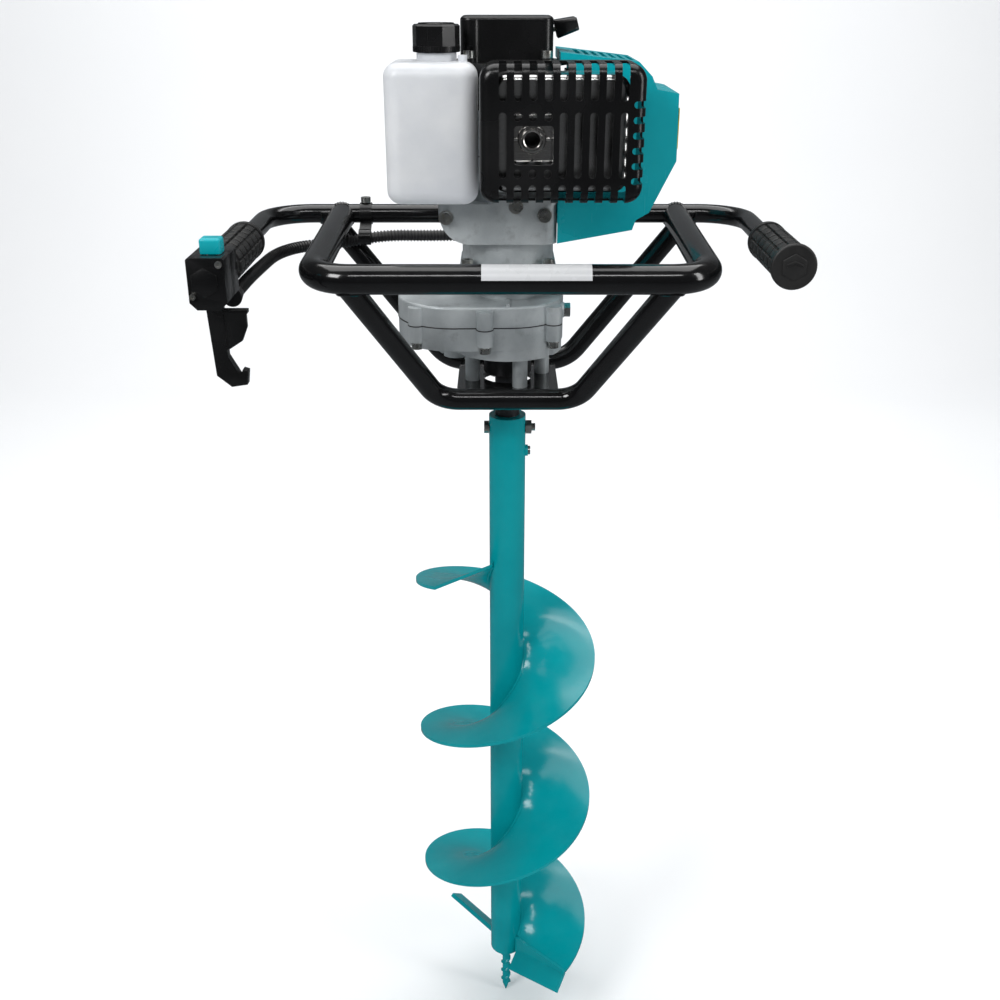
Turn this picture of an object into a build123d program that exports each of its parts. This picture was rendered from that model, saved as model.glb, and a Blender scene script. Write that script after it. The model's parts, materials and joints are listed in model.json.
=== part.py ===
from build123d import *
from math import acos, cos, pi, radians, sin, tan
import os

# Two-handed petrol auger. Millimetres, +Z up, the bit turns about the Z axis.
# The origin is the tip of the pilot screw, and the operator stands on the -Y side.

# ---- driving dimensions ----
GAP = 0.15                # clearance between pieces that touch in the assembled machine

BIT_R = 100.0             # drilling radius
BIT_PITCH = 194.0
TUBE_R = 19.0
TUBE_WALL = 3.0
TUBE_BOTTOM = 78.0
TUBE_TOP = 800.0
FLIGHT_T = 4.0
FLIGHT_START = -43.0      # degrees about Z, +X is zero
FLIGHT_TURN = 984.0       # degrees from the first to the last edge
FLIGHT_Z = 124.0          # height of the flight where it crosses +X
SHAFT_R = 10.0
COUPLING_Z = 786.0

GEAR_MODULE = 1.25
PRESSURE_ANGLE = 25.0
BACKLASH = 0.18
TEETH_INPUT = 12
TEETH_LAY_LARGE = 71
TEETH_LAY_SMALL = 13
TEETH_OUTPUT = 70
CENTRE_DISTANCE = GEAR_MODULE * (TEETH_INPUT + TEETH_LAY_LARGE) / 2
LAY_X = -CENTRE_DISTANCE

CASE_BOTTOM = 873.0
CASE_SPLIT = 906.0
CASE_ROOF = 916.0         # ceiling of the gear chamber
CASE_TOP = 927.0
CASE_R = 55.0
FLANGE_BOLTS = ((-22.0, -59.0), (44.0, -38.0), (-88.0, -42.0), (-22.0, 59.0), (44.0, 38.0), (-88.0, 42.0))
BOSS_R = 8.0
OIL_X, OIL_Y, OIL_Z = 55.0, -18.0, 915.0
LOBE_R = 56.5
CASE_WALL = 5.0
COLUMN_R = 7.5
COLUMN_CIRCLE = 37.0
COLUMN_ANGLES = (-71.0, 19.0, 109.0, 199.0)
PLATE_TOP = 842.0
PLATE_T = 6.0
CRADLE_Y = 60.0           # the two cradles' lower bars lie this far in front of and behind the axis

NECK_BOTTOM = 932.0
NECK_TOP = 985.0
NECK_R = 44.0
NECK_BOLTS = ((-38.5, -38.5), (38.5, -38.5), (-38.5, 38.5), (38.5, 38.5))
CRANKCASE_STEP = 1022.0
CRANKCASE_SPLIT = 1062.0
CRANKCASE_TOP = 1104.0
CASE_SCREWS = (((-57.5, -50.0, 1010.0), 20.0), ((7.0, -50.0, 1020.0), 14.0), ((33.5, -50.0, 1012.0), 9.0))
CYLINDER_Z = 1062.0
BORE_R = 22.0
STROKE = 30.0
FLYWHEEL_R = 49.0
FAN_R = 56.0
FAN_TOP = 1143.0
STARTER_TOP = 1181.0
STARTER_X = (-43.0, 40.0)
STARTER_Y = (-31.0, 31.0)
STARTER_LUGS = ((-35.0, -38.5), (34.0, -38.5), (-35.0, 38.5), (34.0, 38.5))
ROPE_EXIT = (40.0, 0.0, 1169.0)
ROPE_AXIS = (0.965, 0.0, 0.262)
PRIMER_Y = 72.0
PRIMER_Z = 1058.0

HANDLE_R = 9.5
HANDLE_Z = 988.0
ARM_DROP = 2.0            # the arms fall a little towards the operator
GRIP_Z = 986.6            # height of the arm axis at the grips
HANDLE_Y = 95.0
HANDLE_LEFT = -246.5
HANDLE_RIGHT = 243.0
HOOP_R = 13.0
HOOP_X = (-172.0, 175.0)
HOOP_Y = -150.0
HOOP_Z = 976.0
CRADLE_R = 10.5
TUBE_THICK = 2.0
GRIP_R = 17.0

CONTROL_X = (-262.0, -231.0)
CONTROL_Y = (-200.0, -152.0)
CONTROL_Z = (962.0, 1005.0)
CONTROL_SCREWS = ((-235.0, 1000.0, 1.6), (-258.5, 973.5, 1.4))
LEVER_PIVOT = (-246.5, -180.0, 969.0)
CLIP_X = -147.0
CABLE_Y = 72.0
CABLE_Z = 970.0
LOOM_R = 6.0

MUFFLER_OUTLET = (19.4, 1087.6)
COVER_X = (-25.0, 113.5)
COVER_Z = (1035.5, 1148.0)
COVER_FRONT = -130.0
COVER_BACK = -78.0
COVER_T = 2.0

TANK_X = (-108.0, -27.0)
TANK_Y = (-90.0, -16.0)
TANK_Z = (1027.0, 1146.0)
TANK_WALL = 2.5
CAP_XY = (-63.0, -50.0)


# ---- shared shapes ----
def cyl(radius, low, high, x=0.0, y=0.0):
    return Pos(x, y, low) * Cylinder(radius, high - low, align=(Align.CENTER, Align.CENTER, Align.MIN))


def ring(outer, inner, low, high, x=0.0, y=0.0):
    return cyl(outer, low, high, x, y) - cyl(inner, low - 1, high + 1, x, y)


def cyl_along(direction, radius, start, length):
    plane = Plane(origin=start, z_dir=direction)
    return extrude(plane * Circle(radius), amount=length)


def box(x, y, z):
    corner = Pos(x[0], y[0], z[0])
    return corner * Box(x[1] - x[0], y[1] - y[0], z[1] - z[0], align=(Align.MIN,) * 3)


def soft_box(x, y, z, radius, axis=Axis.Z):
    block = box(x, y, z)
    return fillet(block.edges().filter_by(axis), radius)


def screw(at, direction, shank_r, length, head_r, head_h):
    """Cap screw: the shank runs from the seat along direction, the head stands behind the seat."""
    back = Vector(*direction) * -1
    shank = cyl_along(direction, shank_r, at, length)
    head = cyl_along(back, head_r, at, head_h)
    socket = cyl_along(direction, head_r * 0.5, Vector(*at) + back * head_h, head_h * 0.5)
    return shank + head - socket


def bent_tube(points, radii, outer, inner=0.0):
    path = FilletPolyline(*points, radius=radii)
    section = Circle(outer)
    if inner:
        section = section - Circle(inner)
    return sweep((path ^ 0) * section, path=path)


def group(*solids):
    return Compound(children=list(solids))


def gear_outline(teeth, tooth_at_zero):
    """Involute gear outline: flanks in four steps, flat tips and roots, thinned for backlash."""
    pitch_r = GEAR_MODULE * teeth / 2
    base_r = pitch_r * cos(radians(PRESSURE_ANGLE))
    tip_r = pitch_r + GEAR_MODULE
    root_r = pitch_r - 1.3 * GEAR_MODULE
    half_at_pitch = (pi * GEAR_MODULE / 2 - BACKLASH) / (2 * pitch_r)
    involute_at_pitch = tan(radians(PRESSURE_ANGLE)) - radians(PRESSURE_ANGLE)

    def half_angle(radius):
        roll = acos(min(1.0, base_r / radius))
        return half_at_pitch + involute_at_pitch - (tan(roll) - roll)

    flank_start = max(base_r, root_r + 0.1)
    steps = [flank_start + (tip_r - flank_start) * i / 3 for i in range(4)]
    flank = [(root_r, half_angle(flank_start))] + [(r, half_angle(r)) for r in steps]
    shift = 0.0 if tooth_at_zero else pi / teeth
    points = []
    for tooth in range(teeth):
        middle = shift + 2 * pi * tooth / teeth
        for radius, half in flank:
            points.append((radius * cos(middle - half), radius * sin(middle - half)))
        for radius, half in reversed(flank):
            points.append((radius * cos(middle + half), radius * sin(middle + half)))
    return make_face(Polyline(*points, close=True))


def gear(teeth, low, high, x=0.0, tooth_at_zero=True):
    return Pos(x, 0, low) * extrude(gear_outline(teeth, tooth_at_zero), amount=high - low)


# ---- drilling bit ----
def bit_tube():
    socket_low = 742.0
    body = ring(TUBE_R, TUBE_R - TUBE_WALL, TUBE_BOTTOM, socket_low)
    socket = ring(TUBE_R, SHAFT_R + 0.05, socket_low, TUBE_TOP)
    lug = cyl_along((1, 0, 0), 6.0, (TUBE_R - 2, 0, 760.0), 4.5)
    tube = body + socket + (lug - cyl(TUBE_R - 1, 740, 790))
    tube -= cyl_along((1, 0, 0), 4.1, (-TUBE_R - 1, 0, COUPLING_Z), 2 * TUBE_R + 2)
    return tube - cyl_along((1, 0, 0), 3.1, (0, 0, 760.0), TUBE_R + 10)


def bit_flight():
    height = BIT_PITCH * FLIGHT_TURN / 360
    inner = TUBE_R + GAP
    middle = (BIT_R + inner) / 2
    helix = Edge.make_helix(pitch=BIT_PITCH, height=height, radius=middle)
    section = Plane.XZ * Pos(middle, 0) * Rectangle(BIT_R - inner, FLIGHT_T)
    flight = Solid.sweep(section.faces()[0], Wire([helix]), is_frenet=True)
    start_z = FLIGHT_Z + BIT_PITCH * FLIGHT_START / 360
    return Pos(0, 0, start_z) * Rot(0, 0, FLIGHT_START) * flight


def cutting_blades():
    """Two raked plates, half a turn apart, each leading the drilling edge of the bit."""
    inner = Vector(16.0, -15.0, 80.0)
    outer = Vector(73.0, -66.0, 95.0)
    leading = Vector(-13.5, -12.0, -16.0)
    along = (outer - inner).normalized()
    normal = along.cross(leading).normalized()
    width = 25.0
    thick = 5.0
    plane = Plane(origin=inner, x_dir=along, z_dir=normal)
    outline = Rectangle((outer - inner).length, width, align=(Align.MIN, Align.MIN))
    blade = extrude(plane * outline, amount=-thick)
    blade -= cyl(TUBE_R + GAP, 40, 130)
    return group(blade + flight_web(), Rot(0, 0, 180) * blade)


def flight_web():
    """Upright strip that carries the first edge of the flight down to its blade."""
    top = FLIGHT_Z + BIT_PITCH * FLIGHT_START / 360 + FLIGHT_T / 2
    inner = TUBE_R + GAP
    face = make_face(Polyline((inner, 79.0), (BIT_R - 1.5, 94.5), (BIT_R, top), (inner, top), close=True))
    return Rot(0, 0, FLIGHT_START) * Pos(0, -GAP, 0) * extrude(Plane.XZ * face, amount=3.5)


def pilot_screw():
    core_r = 4.2
    thread_r = 6.2
    thread_pitch = 14.0
    low = 12.0
    high = 66.0
    tip = Cone(0.6, core_r, low, align=(Align.CENTER, Align.CENTER, Align.MIN))
    core = cyl(core_r, low, 70.0)
    shoulder = Pos(0, 0, 70.0) * Cone(core_r, TUBE_R - TUBE_WALL - GAP, 7.9,
                                      align=(Align.CENTER, Align.CENTER, Align.MIN))
    plug = cyl(TUBE_R - TUBE_WALL - GAP, 77.9, 96.0)
    helix = Edge.make_helix(pitch=thread_pitch, height=high - low, radius=core_r)
    tooth = make_face(Polyline((core_r - 1.2, -2.8), (thread_r, -0.6), (thread_r, 0.6),
                               (core_r - 1.2, 2.8), close=True))
    thread = Solid.sweep((Plane.XZ * tooth).faces()[0], Wire([helix]), is_frenet=True)
    return tip + core + shoulder + plug + Pos(0, 0, low) * thread


def coupling_fasteners():
    """Cross bolt with its nut through tube and shaft, and the lock screw in the lug."""
    shank = cyl_along((1, 0, 0), 3.9, (-TUBE_R - 2, 0, COUPLING_Z), 2 * TUBE_R + 12)
    head = cyl_along((-1, 0, 0), 6.5, (-TUBE_R - 0.1, 0, COUPLING_Z), 5.0)
    nut = Plane(origin=(TUBE_R + 0.1, 0, COUPLING_Z), z_dir=(1, 0, 0)) * RegularPolygon(7.5, 6)
    bolt = shank + head + extrude(nut, amount=6.0)
    lock = cyl_along((1, 0, 0), 2.95, (12.0, 0, 760.0), 10.0)
    lock_head = cyl_along((1, 0, 0), 4.6, (21.6, 0, 760.0), 2.5)
    return group(bolt, lock + lock_head)


def output_shaft():
    shaft = cyl(SHAFT_R, 748.0, 899.0) + cyl(12.6, TUBE_TOP + 1, 848.0)
    shaft -= cyl_along((1, 0, 0), 4.1, (-20, 0, COUPLING_Z), 40)
    return shaft - cyl_along((1, 0, 0), 3.05, (8.0, 0, 760.0), 10)


# ---- gears ----
def output_gear():
    wheel = gear(TEETH_OUTPUT, 883.0, 897.0, tooth_at_zero=False)
    dish = ring(36.0, 18.0, 892.0, 898.0) + ring(36.0, 18.0, 882.0, 887.0)
    return wheel - dish - cyl(SHAFT_R + 0.02, 880, 900)


def layshaft():
    large = gear(TEETH_LAY_LARGE, 902.0, 913.0, LAY_X, tooth_at_zero=False)
    small = gear(TEETH_LAY_SMALL, 881.5, 899.5, LAY_X)
    hub = cyl(12.0, 900.5, 902.0, LAY_X) + cyl(12.0, 913.0, 914.5, LAY_X)
    shaft = cyl(5.5, 868.0, 921.5, LAY_X)
    web = ring(36.0, 15.0, 908.5, 914.0, LAY_X)
    return large + small + hub + shaft - web + cyl(5.5, 899.0, 901.0, LAY_X)


def clutch_drum():
    pinion = gear(TEETH_INPUT, 901.5, 914.5)
    stem = cyl(5.8, 914.5, 945.0) + cyl(5.0, 900.2, 901.5)
    cup = cyl(39.0, 945.0, 981.0) - cyl(36.0, 948.0, 982.0)
    return pinion + stem + cup


def bearings():
    """Rolling bearings as plain rings: pairs for output shaft, layshaft, input shaft and crankshaft."""
    return group(
        ring(18.0, SHAFT_R + 0.03, 853.0, 865.0),
        ring(18.0, SHAFT_R + 0.03, 869.0, 880.0),
        ring(10.0, 5.53, 869.0, 877.0, LAY_X),
        ring(11.0, 5.53, 915.0, 921.5, LAY_X),
        ring(14.0, 5.83, 916.0, 924.0),
        ring(14.0, 5.83, 932.3, 938.3),
        ring(15.0, 7.03, 991.0, 1002.0),
        ring(15.0, 7.03, 1092.0, 1100.9),
    )


# ---- gearbox ----
def case_footprint(grow):
    """Main round body with the offset lobe, joined by straight flanks."""
    lobe = Pos(LAY_X, 0) * Circle(LOBE_R + grow)
    main = Circle(CASE_R + grow)
    return make_hull((lobe + main).edges())


def gearbox_lower_case():
    lobe_bottom = 884.0
    body = extrude(Pos(0, 0, lobe_bottom) * case_footprint(0), amount=CASE_SPLIT - 0.05 - lobe_bottom)
    body += cyl(CASE_R - 1, CASE_BOTTOM, lobe_bottom + 1)
    body += cyl(12.5, 864.0, lobe_bottom + 1, LAY_X)
    rib = Plane.XZ * make_face(Polyline((-92, 886), (-60, 886), (-60, 866), (-66, 866), close=True))
    body += extrude(rib, amount=2.5, both=True)
    for x, y in FLANGE_BOLTS:
        body += cyl(BOSS_R, 890.0, CASE_SPLIT - 0.05, x, y)
    inside = extrude(Pos(0, 0, 898.5) * case_footprint(-CASE_WALL), amount=20)
    body -= inside
    body -= cyl(CASE_R - 6, 878.0, 910.0)
    body -= cyl(13.0, 880.0, 910.0, LAY_X)
    body -= cyl(18.05, CASE_BOTTOM - 5, 882.0)
    body -= cyl(10.05, 869.0, 884.0, LAY_X)
    body -= cyl(5.8, 867.0, 884.0, LAY_X)
    for x, y in FLANGE_BOLTS:
        body -= cyl(3.2, 880.0, 912.0, x, y) + cyl(6.8, CASE_BOTTOM - 1, 890.0, x, y)
    for angle in COLUMN_ANGLES:
        x = COLUMN_CIRCLE * cos(radians(angle))
        y = COLUMN_CIRCLE * sin(radians(angle))
        body -= cyl(3.1, CASE_BOTTOM - 1, 877.0, x, y)
    return body


def gearbox_upper_case():
    body = extrude(Pos(0, 0, CASE_SPLIT + 0.05) * case_footprint(0), amount=CASE_TOP - CASE_SPLIT - 0.05)
    top_edges = body.edges().group_by(Axis.Z)[-1]
    body = fillet(top_edges, 2.5)
    for x, y in FLANGE_BOLTS:
        body += cyl(BOSS_R, CASE_SPLIT + 0.05, 924.0, x, y)
    body += cyl(28.0, CASE_TOP - 1, NECK_BOTTOM)
    body += box((-1.5, 1.5), (-52, -26), (CASE_TOP - 1, CASE_TOP + 2))
    body += cyl_along((1, 0, 0), 7.5, (OIL_X - 8, OIL_Y, OIL_Z), 8.0)
    depth = CASE_ROOF - CASE_SPLIT + 1
    inside = extrude(Pos(0, 0, CASE_SPLIT - 1) * case_footprint(-CASE_WALL), amount=depth)
    body -= inside
    body -= cyl(14.05, CASE_SPLIT - 1, NECK_BOTTOM - 3.0)
    body -= cyl(9.0, CASE_SPLIT - 1, NECK_BOTTOM + 1)
    body -= cyl(11.05, CASE_SPLIT - 1, 922.0, LAY_X)
    for x, y in FLANGE_BOLTS:
        body -= cyl(3.2, CASE_SPLIT - 1, 921.0, x, y)
    return body - cyl_along((1, 0, 0), 4.1, (OIL_X - 12, OIL_Y, OIL_Z), 20.0)


def gearbox_bolts():
    parts = []
    for x, y in FLANGE_BOLTS:
        parts.append(screw((x, y, 889.9), (0, 0, 1), 3.0, 30.0, 5.5, 7.0))
    for angle in COLUMN_ANGLES:
        x = COLUMN_CIRCLE * cos(radians(angle))
        y = COLUMN_CIRCLE * sin(radians(angle))
        parts.append(screw((x, y, PLATE_TOP - PLATE_T - 0.1), (0, 0, 1), 2.9, 40.0, 5.5, 5.0))
    return group(*parts)


def oil_plug():
    head = Plane(origin=(OIL_X + 0.1, OIL_Y, OIL_Z), z_dir=(1, 0, 0)) * RegularPolygon(7.0, 6)
    return extrude(head, amount=6.0) + cyl_along((1, 0, 0), 4.0, (OIL_X - 8, OIL_Y, OIL_Z), 9.0)


def output_bearing_housing():
    return cyl(24.0, PLATE_TOP + 6, CASE_BOTTOM - 0.1) - cyl(18.05, 852.0, 874.0) - cyl(12.8, 840.0, 860.0)


def spacer_columns():
    parts = []
    for angle in COLUMN_ANGLES:
        x = COLUMN_CIRCLE * cos(radians(angle))
        y = COLUMN_CIRCLE * sin(radians(angle))
        parts.append(ring(COLUMN_R, 3.1, PLATE_TOP + 0.05, CASE_BOTTOM - 0.05, x, y))
    return group(*parts)


def base_plate():
    reach = CRADLE_Y - CRADLE_R - GAP
    plate = soft_box((-50, 50), (-reach, reach), (PLATE_TOP - PLATE_T, PLATE_TOP), 12)
    for angle in COLUMN_ANGLES:
        x = COLUMN_CIRCLE * cos(radians(angle))
        y = COLUMN_CIRCLE * sin(radians(angle))
        plate -= cyl(3.2, 830, 850, x, y)
    return plate - cyl(25.0, 830, 850)


# ---- engine ----
def clutch_housing():
    base = ring(28.0, 10.5, NECK_BOTTOM + 0.05, 943.0)
    body = cyl(NECK_R, 939.0, NECK_TOP) + base
    flange = soft_box((-46, 46), (-46, 46), (952.0, 961.0), 12)
    body += flange
    body = body - cyl(40.5, 943.0, NECK_TOP + 1) - cyl(14.05, 930.0, 938.5) - cyl(9.0, 930.0, 945.0)
    for x, y in NECK_BOLTS:
        body -= cyl(3.3, 950, 963, x, y)
    return body


def crankcase_lower():
    """Wide foot over the clutch neck, then a round chamber squared off towards the cylinder."""
    body = soft_box((-65, 45), (-50, 50), (NECK_TOP + 0.05, CRANKCASE_STEP), 12)
    body += cyl(44.0, CRANKCASE_STEP - 1, CRANKCASE_SPLIT - 0.05)
    body += soft_box((-20, 45), (-50, 50), (CRANKCASE_STEP - 1, CRANKCASE_SPLIT - 0.05), 8)
    corner = box((-66, -35), (-60, 60), (980, 1014)) - cyl_along((0, 1, 0), 30.0, (-35, -61, 1015), 122)
    body -= corner
    for x, y in NECK_BOLTS:
        if x > 0:
            body += cyl(7.0, NECK_TOP + 0.05, 1012.0, x, y)
    body -= cyl(36.0, 1002.0, 1064.0)
    body -= cyl(15.05, 987.0, 1003.0) + cyl(9.0, 980.0, 990.0)
    body -= cyl_along((1, 0, 0), BORE_R + 2.6, (20, 0, CYLINDER_Z), 40)
    for place, depth in CASE_SCREWS[:3]:
        body -= cyl_along((0, 1, 0), 3.1, (place[0], place[1] - 1, place[2]), depth + 2)
    return body


def crankcase_upper():
    body = cyl(44.0, CRANKCASE_SPLIT + 0.05, CRANKCASE_TOP)
    body += soft_box((-20, 45), (-50, 50), (CRANKCASE_SPLIT + 0.05, CRANKCASE_TOP), 8)
    body -= cyl(36.0, 1060.0, 1092.0)
    body -= cyl(15.05, 1091.0, 1101.0) + cyl(9.0, 1090.0, 1106.0)
    return body - cyl_along((1, 0, 0), BORE_R + 2.6, (20, 0, CYLINDER_Z), 40)


def crankshaft():
    shaft = cyl(7.0, 964.5, 1045.0) + cyl(7.0, 1077.0, 1124.0)
    webs = cyl(30.0, 1045.0, 1054.0) + cyl(30.0, 1068.0, 1077.0)
    pin = cyl(6.0, 1054.0, 1068.0, STROKE / 2)
    return shaft + webs + pin


def clutch_hub():
    """Hub with two centrifugal shoes, fixed to the bottom of the crankshaft."""
    disc = cyl(14.0, 953.0, 964.4)
    shoes = ring(34.0, 16.0, 953.0, 972.0) - box((-40, 40), (-3, 3), (950, 975))
    arms = box((-4, 4), (-18, 18), (953.0, 958.0))
    return disc + shoes + arms + ring(14.0, 7.05, 964.4, 972.0)


def piston():
    crown_x = 96.0
    skirt_x = 66.0
    body = cyl_along((1, 0, 0), BORE_R - 0.05, (skirt_x, 0, CYLINDER_Z), crown_x - skirt_x)
    hollow = cyl_along((1, 0, 0), BORE_R - 4, (skirt_x - 1, 0, CYLINDER_Z), 22.0)
    wrist = cyl_along((0, 1, 0), 5.0, (76.0, -17.5, CYLINDER_Z), 35.0)
    body = body - hollow + wrist
    for groove_x in (89.0, 92.5):
        body -= cyl_along((1, 0, 0), BORE_R + 1, (groove_x, 0, CYLINDER_Z), 1.2) - cyl_along(
            (1, 0, 0), BORE_R - 1.2, (groove_x - 1, 0, CYLINDER_Z), 4)
    return body


def cylinder():
    start = 45.1
    body = cyl_along((1, 0, 0), 26.0, (start, 0, CYLINDER_Z), 63.0)
    sleeve = cyl_along((1, 0, 0), 24.4, (36.5, 0, CYLINDER_Z), 10.0)
    body += sleeve
    for i in range(8):
        x = 52.0 + 7.6 * i
        body += soft_box((x, x + 2.2), (-40, 40), (1022, 1102), 10, Axis.X)
    body += box((60, 92), (-44, -20), (1048, 1078)) + box((60, 92), (20, 47), (1046, 1078))
    body -= cyl_along((1, 0, 0), BORE_R, (30, 0, CYLINDER_Z), 72.0)
    body -= cyl_along((0, 1, 0), 9.0, (76, -50, CYLINDER_Z), 40)
    body -= cyl_along((0, 1, 0), 9.0, (76, 10, CYLINDER_Z), 40)
    return body - cyl_along((1, 0, 0), 5.1, (100, 0, CYLINDER_Z), 20)


def spark_plug():
    thread = cyl_along((1, 0, 0), 5.0, (102.0, 0, CYLINDER_Z), 6.2)
    hexagon = Plane(origin=(108.2, 0, CYLINDER_Z), z_dir=(1, 0, 0)) * RegularPolygon(9.0, 6)
    insulator = cyl_along((1, 0, 0), 5.0, (115.0, 0, CYLINDER_Z), 22.0)
    return thread + extrude(hexagon, amount=8.0) + insulator


def spark_lead():
    boot = cyl_along((1, 0, 0), 8.5, (121.0, 0, CYLINDER_Z), 24.0) - cyl_along(
        (1, 0, 0), 5.1, (120.0, 0, CYLINDER_Z), 19.0)
    lead = bent_tube([(72.0, 0, 1126.0), (100.0, 0, 1122.0), (122.0, 0, 1108.0), (134.0, 0, 1090.0),
                      (135.0, 0, 1068.0)], [40.0, 34.0, 22.0], 3.4)
    return boot + lead


def ignition_coil():
    block = soft_box((52.0, 72.0), (-14, 14), (1114.0, 1136.0), 3)
    legs = box((50.0, 52.5), (-12, -6), (1118, 1130)) + box((50.0, 52.5), (6, 12), (1118, 1130))
    return block + legs - cyl_along((1, 0, 0), 3.9, (70.5, 0, 1126.0), 3)


def flywheel():
    disc = cyl(FLYWHEEL_R, 1110.0, 1118.0) + cyl(14.0, 1106.0, 1124.0)
    for i in range(12):
        vane = Pos(0, 0, 1117.0) * Box(20.0, 2.2, 14.0, align=(Align.MIN, Align.CENTER, Align.MIN))
        disc += Rot(0, 0, 30 * i) * Pos(26.0, 0, 0) * vane
    return disc - cyl(7.05, 1100, 1130)


def fan_housing():
    wall = ring(FAN_R, FAN_R - 2.5, CRANKCASE_TOP + 0.1, FAN_TOP)
    floor = ring(FAN_R, 20.0, CRANKCASE_TOP + 0.1, CRANKCASE_TOP + 2.1)
    lid = ring(FAN_R, 34.0, FAN_TOP - 2.5, FAN_TOP)
    shell = wall + floor + lid
    shell -= box((40, 60), (-40, 40), (CRANKCASE_TOP + 2.2, FAN_TOP - 2.6))
    for x, y in STARTER_LUGS:
        shell -= cyl(2.1, FAN_TOP - 10, FAN_TOP + 1, x, y)
    return shell


def starter_housing():
    """Box-shaped recoil cover with an upright rib at the left and a rope eyelet at the right."""
    low = FAN_TOP + 0.1
    body = soft_box(STARTER_X, STARTER_Y, (low, STARTER_TOP), 10)
    body = fillet(body.edges().group_by(Axis.Z)[-1], 3.0)
    body += cyl(9.0, low, STARTER_TOP - 3, STARTER_X[0] + 10, STARTER_Y[0] + 6)
    for x, y in STARTER_LUGS:
        body += cyl(6.0, low, low + 4.0, x, y)
        body -= cyl(5.6, low + 4.0, low + 14.0, x, y)
    inside_x = (STARTER_X[0] + 3, STARTER_X[1] - 3)
    inside_y = (STARTER_Y[0] + 3, STARTER_Y[1] - 3)
    body -= soft_box(inside_x, inside_y, (low - 1, STARTER_TOP - 3), 7)
    body += cyl(5.0, 1145.6, STARTER_TOP - 2.0)
    for x, y in STARTER_LUGS:
        body -= cyl(2.6, low - 1, low + 6.0, x, y)
    return body - cyl_along(ROPE_AXIS, 3.0, on_rope(-12.0), 40)


def on_rope(distance):
    """Point on the rope's straight run, measured from the eyelet."""
    return tuple(at + distance * step for at, step in zip(ROPE_EXIT, ROPE_AXIS))


def starter_rope():
    return cyl_along(ROPE_AXIS, 2.0, on_rope(-11.0), 24.0)


def starter_handle():
    """Faceted pull handle standing off the eyelet, wider towards its end."""
    plane = Plane(origin=on_rope(2.5), x_dir=(0, 1, 0), z_dir=ROPE_AXIS)
    base = plane * RectangleRounded(26, 16, 3)
    end = plane * Pos(0, 0, 20.0) * RectangleRounded(46, 11, 3)
    handle = loft([base.faces()[0], end.faces()[0]])
    return handle - cyl_along(ROPE_AXIS, 2.05, on_rope(0.0), 13.1)


def starter_pulley():
    rim = ring(27.0, 5.4, 1146.0, 1158.0)
    return rim - ring(28.0, 22.0, 1149.5, 1154.5)


# ---- exhaust ----
def cover_slots():
    """Nine slot columns in three rows; three columns shorten above and below the window."""
    first = -5.4
    step = 12.62
    cuts = []
    for column in range(9):
        x = first + step * column
        around_window = 1 <= column <= 3
        middle = [(1057.0, 1064.5), (1103.0, 1110.0)] if around_window else [(1057.0, 1110.0)]
        cuts += [slot(x, low, high, COVER_FRONT + 10.0) for low, high in middle]
        cuts.append(slot(x, 1119.0, 1156.0, COVER_BACK - 14.0))
        cuts.append(slot(x, 1028.0, 1051.5, COVER_FRONT + 20.0))
    return cuts


def slot(x, low, high, reach):
    width = 6.4
    block = box((x - width / 2, x + width / 2), (-140, reach), (low, high))
    return fillet(block.edges().filter_by(Axis.Y), width / 2 - 0.05)


def muffler_cover():
    shell = soft_box(COVER_X, (COVER_FRONT, COVER_BACK), COVER_Z, 14, Axis.Y)
    front = shell.edges().group_by(Axis.Y)[0]
    shell = fillet(front, 9.0)
    inner_x = (COVER_X[0] + COVER_T, COVER_X[1] - COVER_T)
    inner_z = (COVER_Z[0] + COVER_T, COVER_Z[1] - COVER_T)
    inner = soft_box(inner_x, (COVER_FRONT + COVER_T, COVER_BACK + 1), inner_z, 12, Axis.Y)
    inner = fillet(inner.edges().group_by(Axis.Y)[0], 7.0)
    shell -= inner
    for cut in cover_slots():
        shell -= cut
    for i in range(6):
        z = 1054.5 + 12.3 * i
        shell -= fillet(box((103, 120), (-140, -106), (z - 2.8, z + 2.8)).edges().filter_by(Axis.Y), 2.7)
    return shell - soft_box((4.0, 37.0), (-140, -120), (1068.0, 1099.5), 3, Axis.Y)


def muffler():
    body = soft_box((-14, 102), (-110, -58), (1042, 1138), 12, Axis.Y)
    body = fillet(body.edges().group_by(Axis.Y)[0], 5.0)
    x, z = MUFFLER_OUTLET
    plate = soft_box((x - 20, x + 20), (-116, -109), (z - 20, z + 20), 4, Axis.Y)
    pipe = cyl_along((0, -1, 0), 9.0, (x, -115, z), 9.0)
    body += plate + pipe
    body -= soft_box((-12, 100), (-108, -60), (1044, 1136), 10, Axis.Y)
    neck = cyl_along((0, 1, 0), 14.0, (76, -59, CYLINDER_Z), 14.9)
    body += neck
    body -= cyl_along((0, 1, 0), 9.0, (76, -61, CYLINDER_Z), 20)
    return body - cyl_along((0, -1, 0), 6.5, (x, -100, z), 30.0)


# ---- shroud, intake, fuel ----
def shroud_outline(inset):
    outline = make_face(Polyline(
        (45.6, 1152.5), (115.0, 1144.5), (127.0, 1132.5), (132.0, 1121.5), (151.5, 1118.0),
        (152.5, 1060.0), (130.0, 1014.0), (118.0, 1007.0), (115.0, 998.0), (45.6, 985.5), close=True))
    return offset(outline, -inset, kind=Kind.INTERSECTION) if inset else outline


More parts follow.
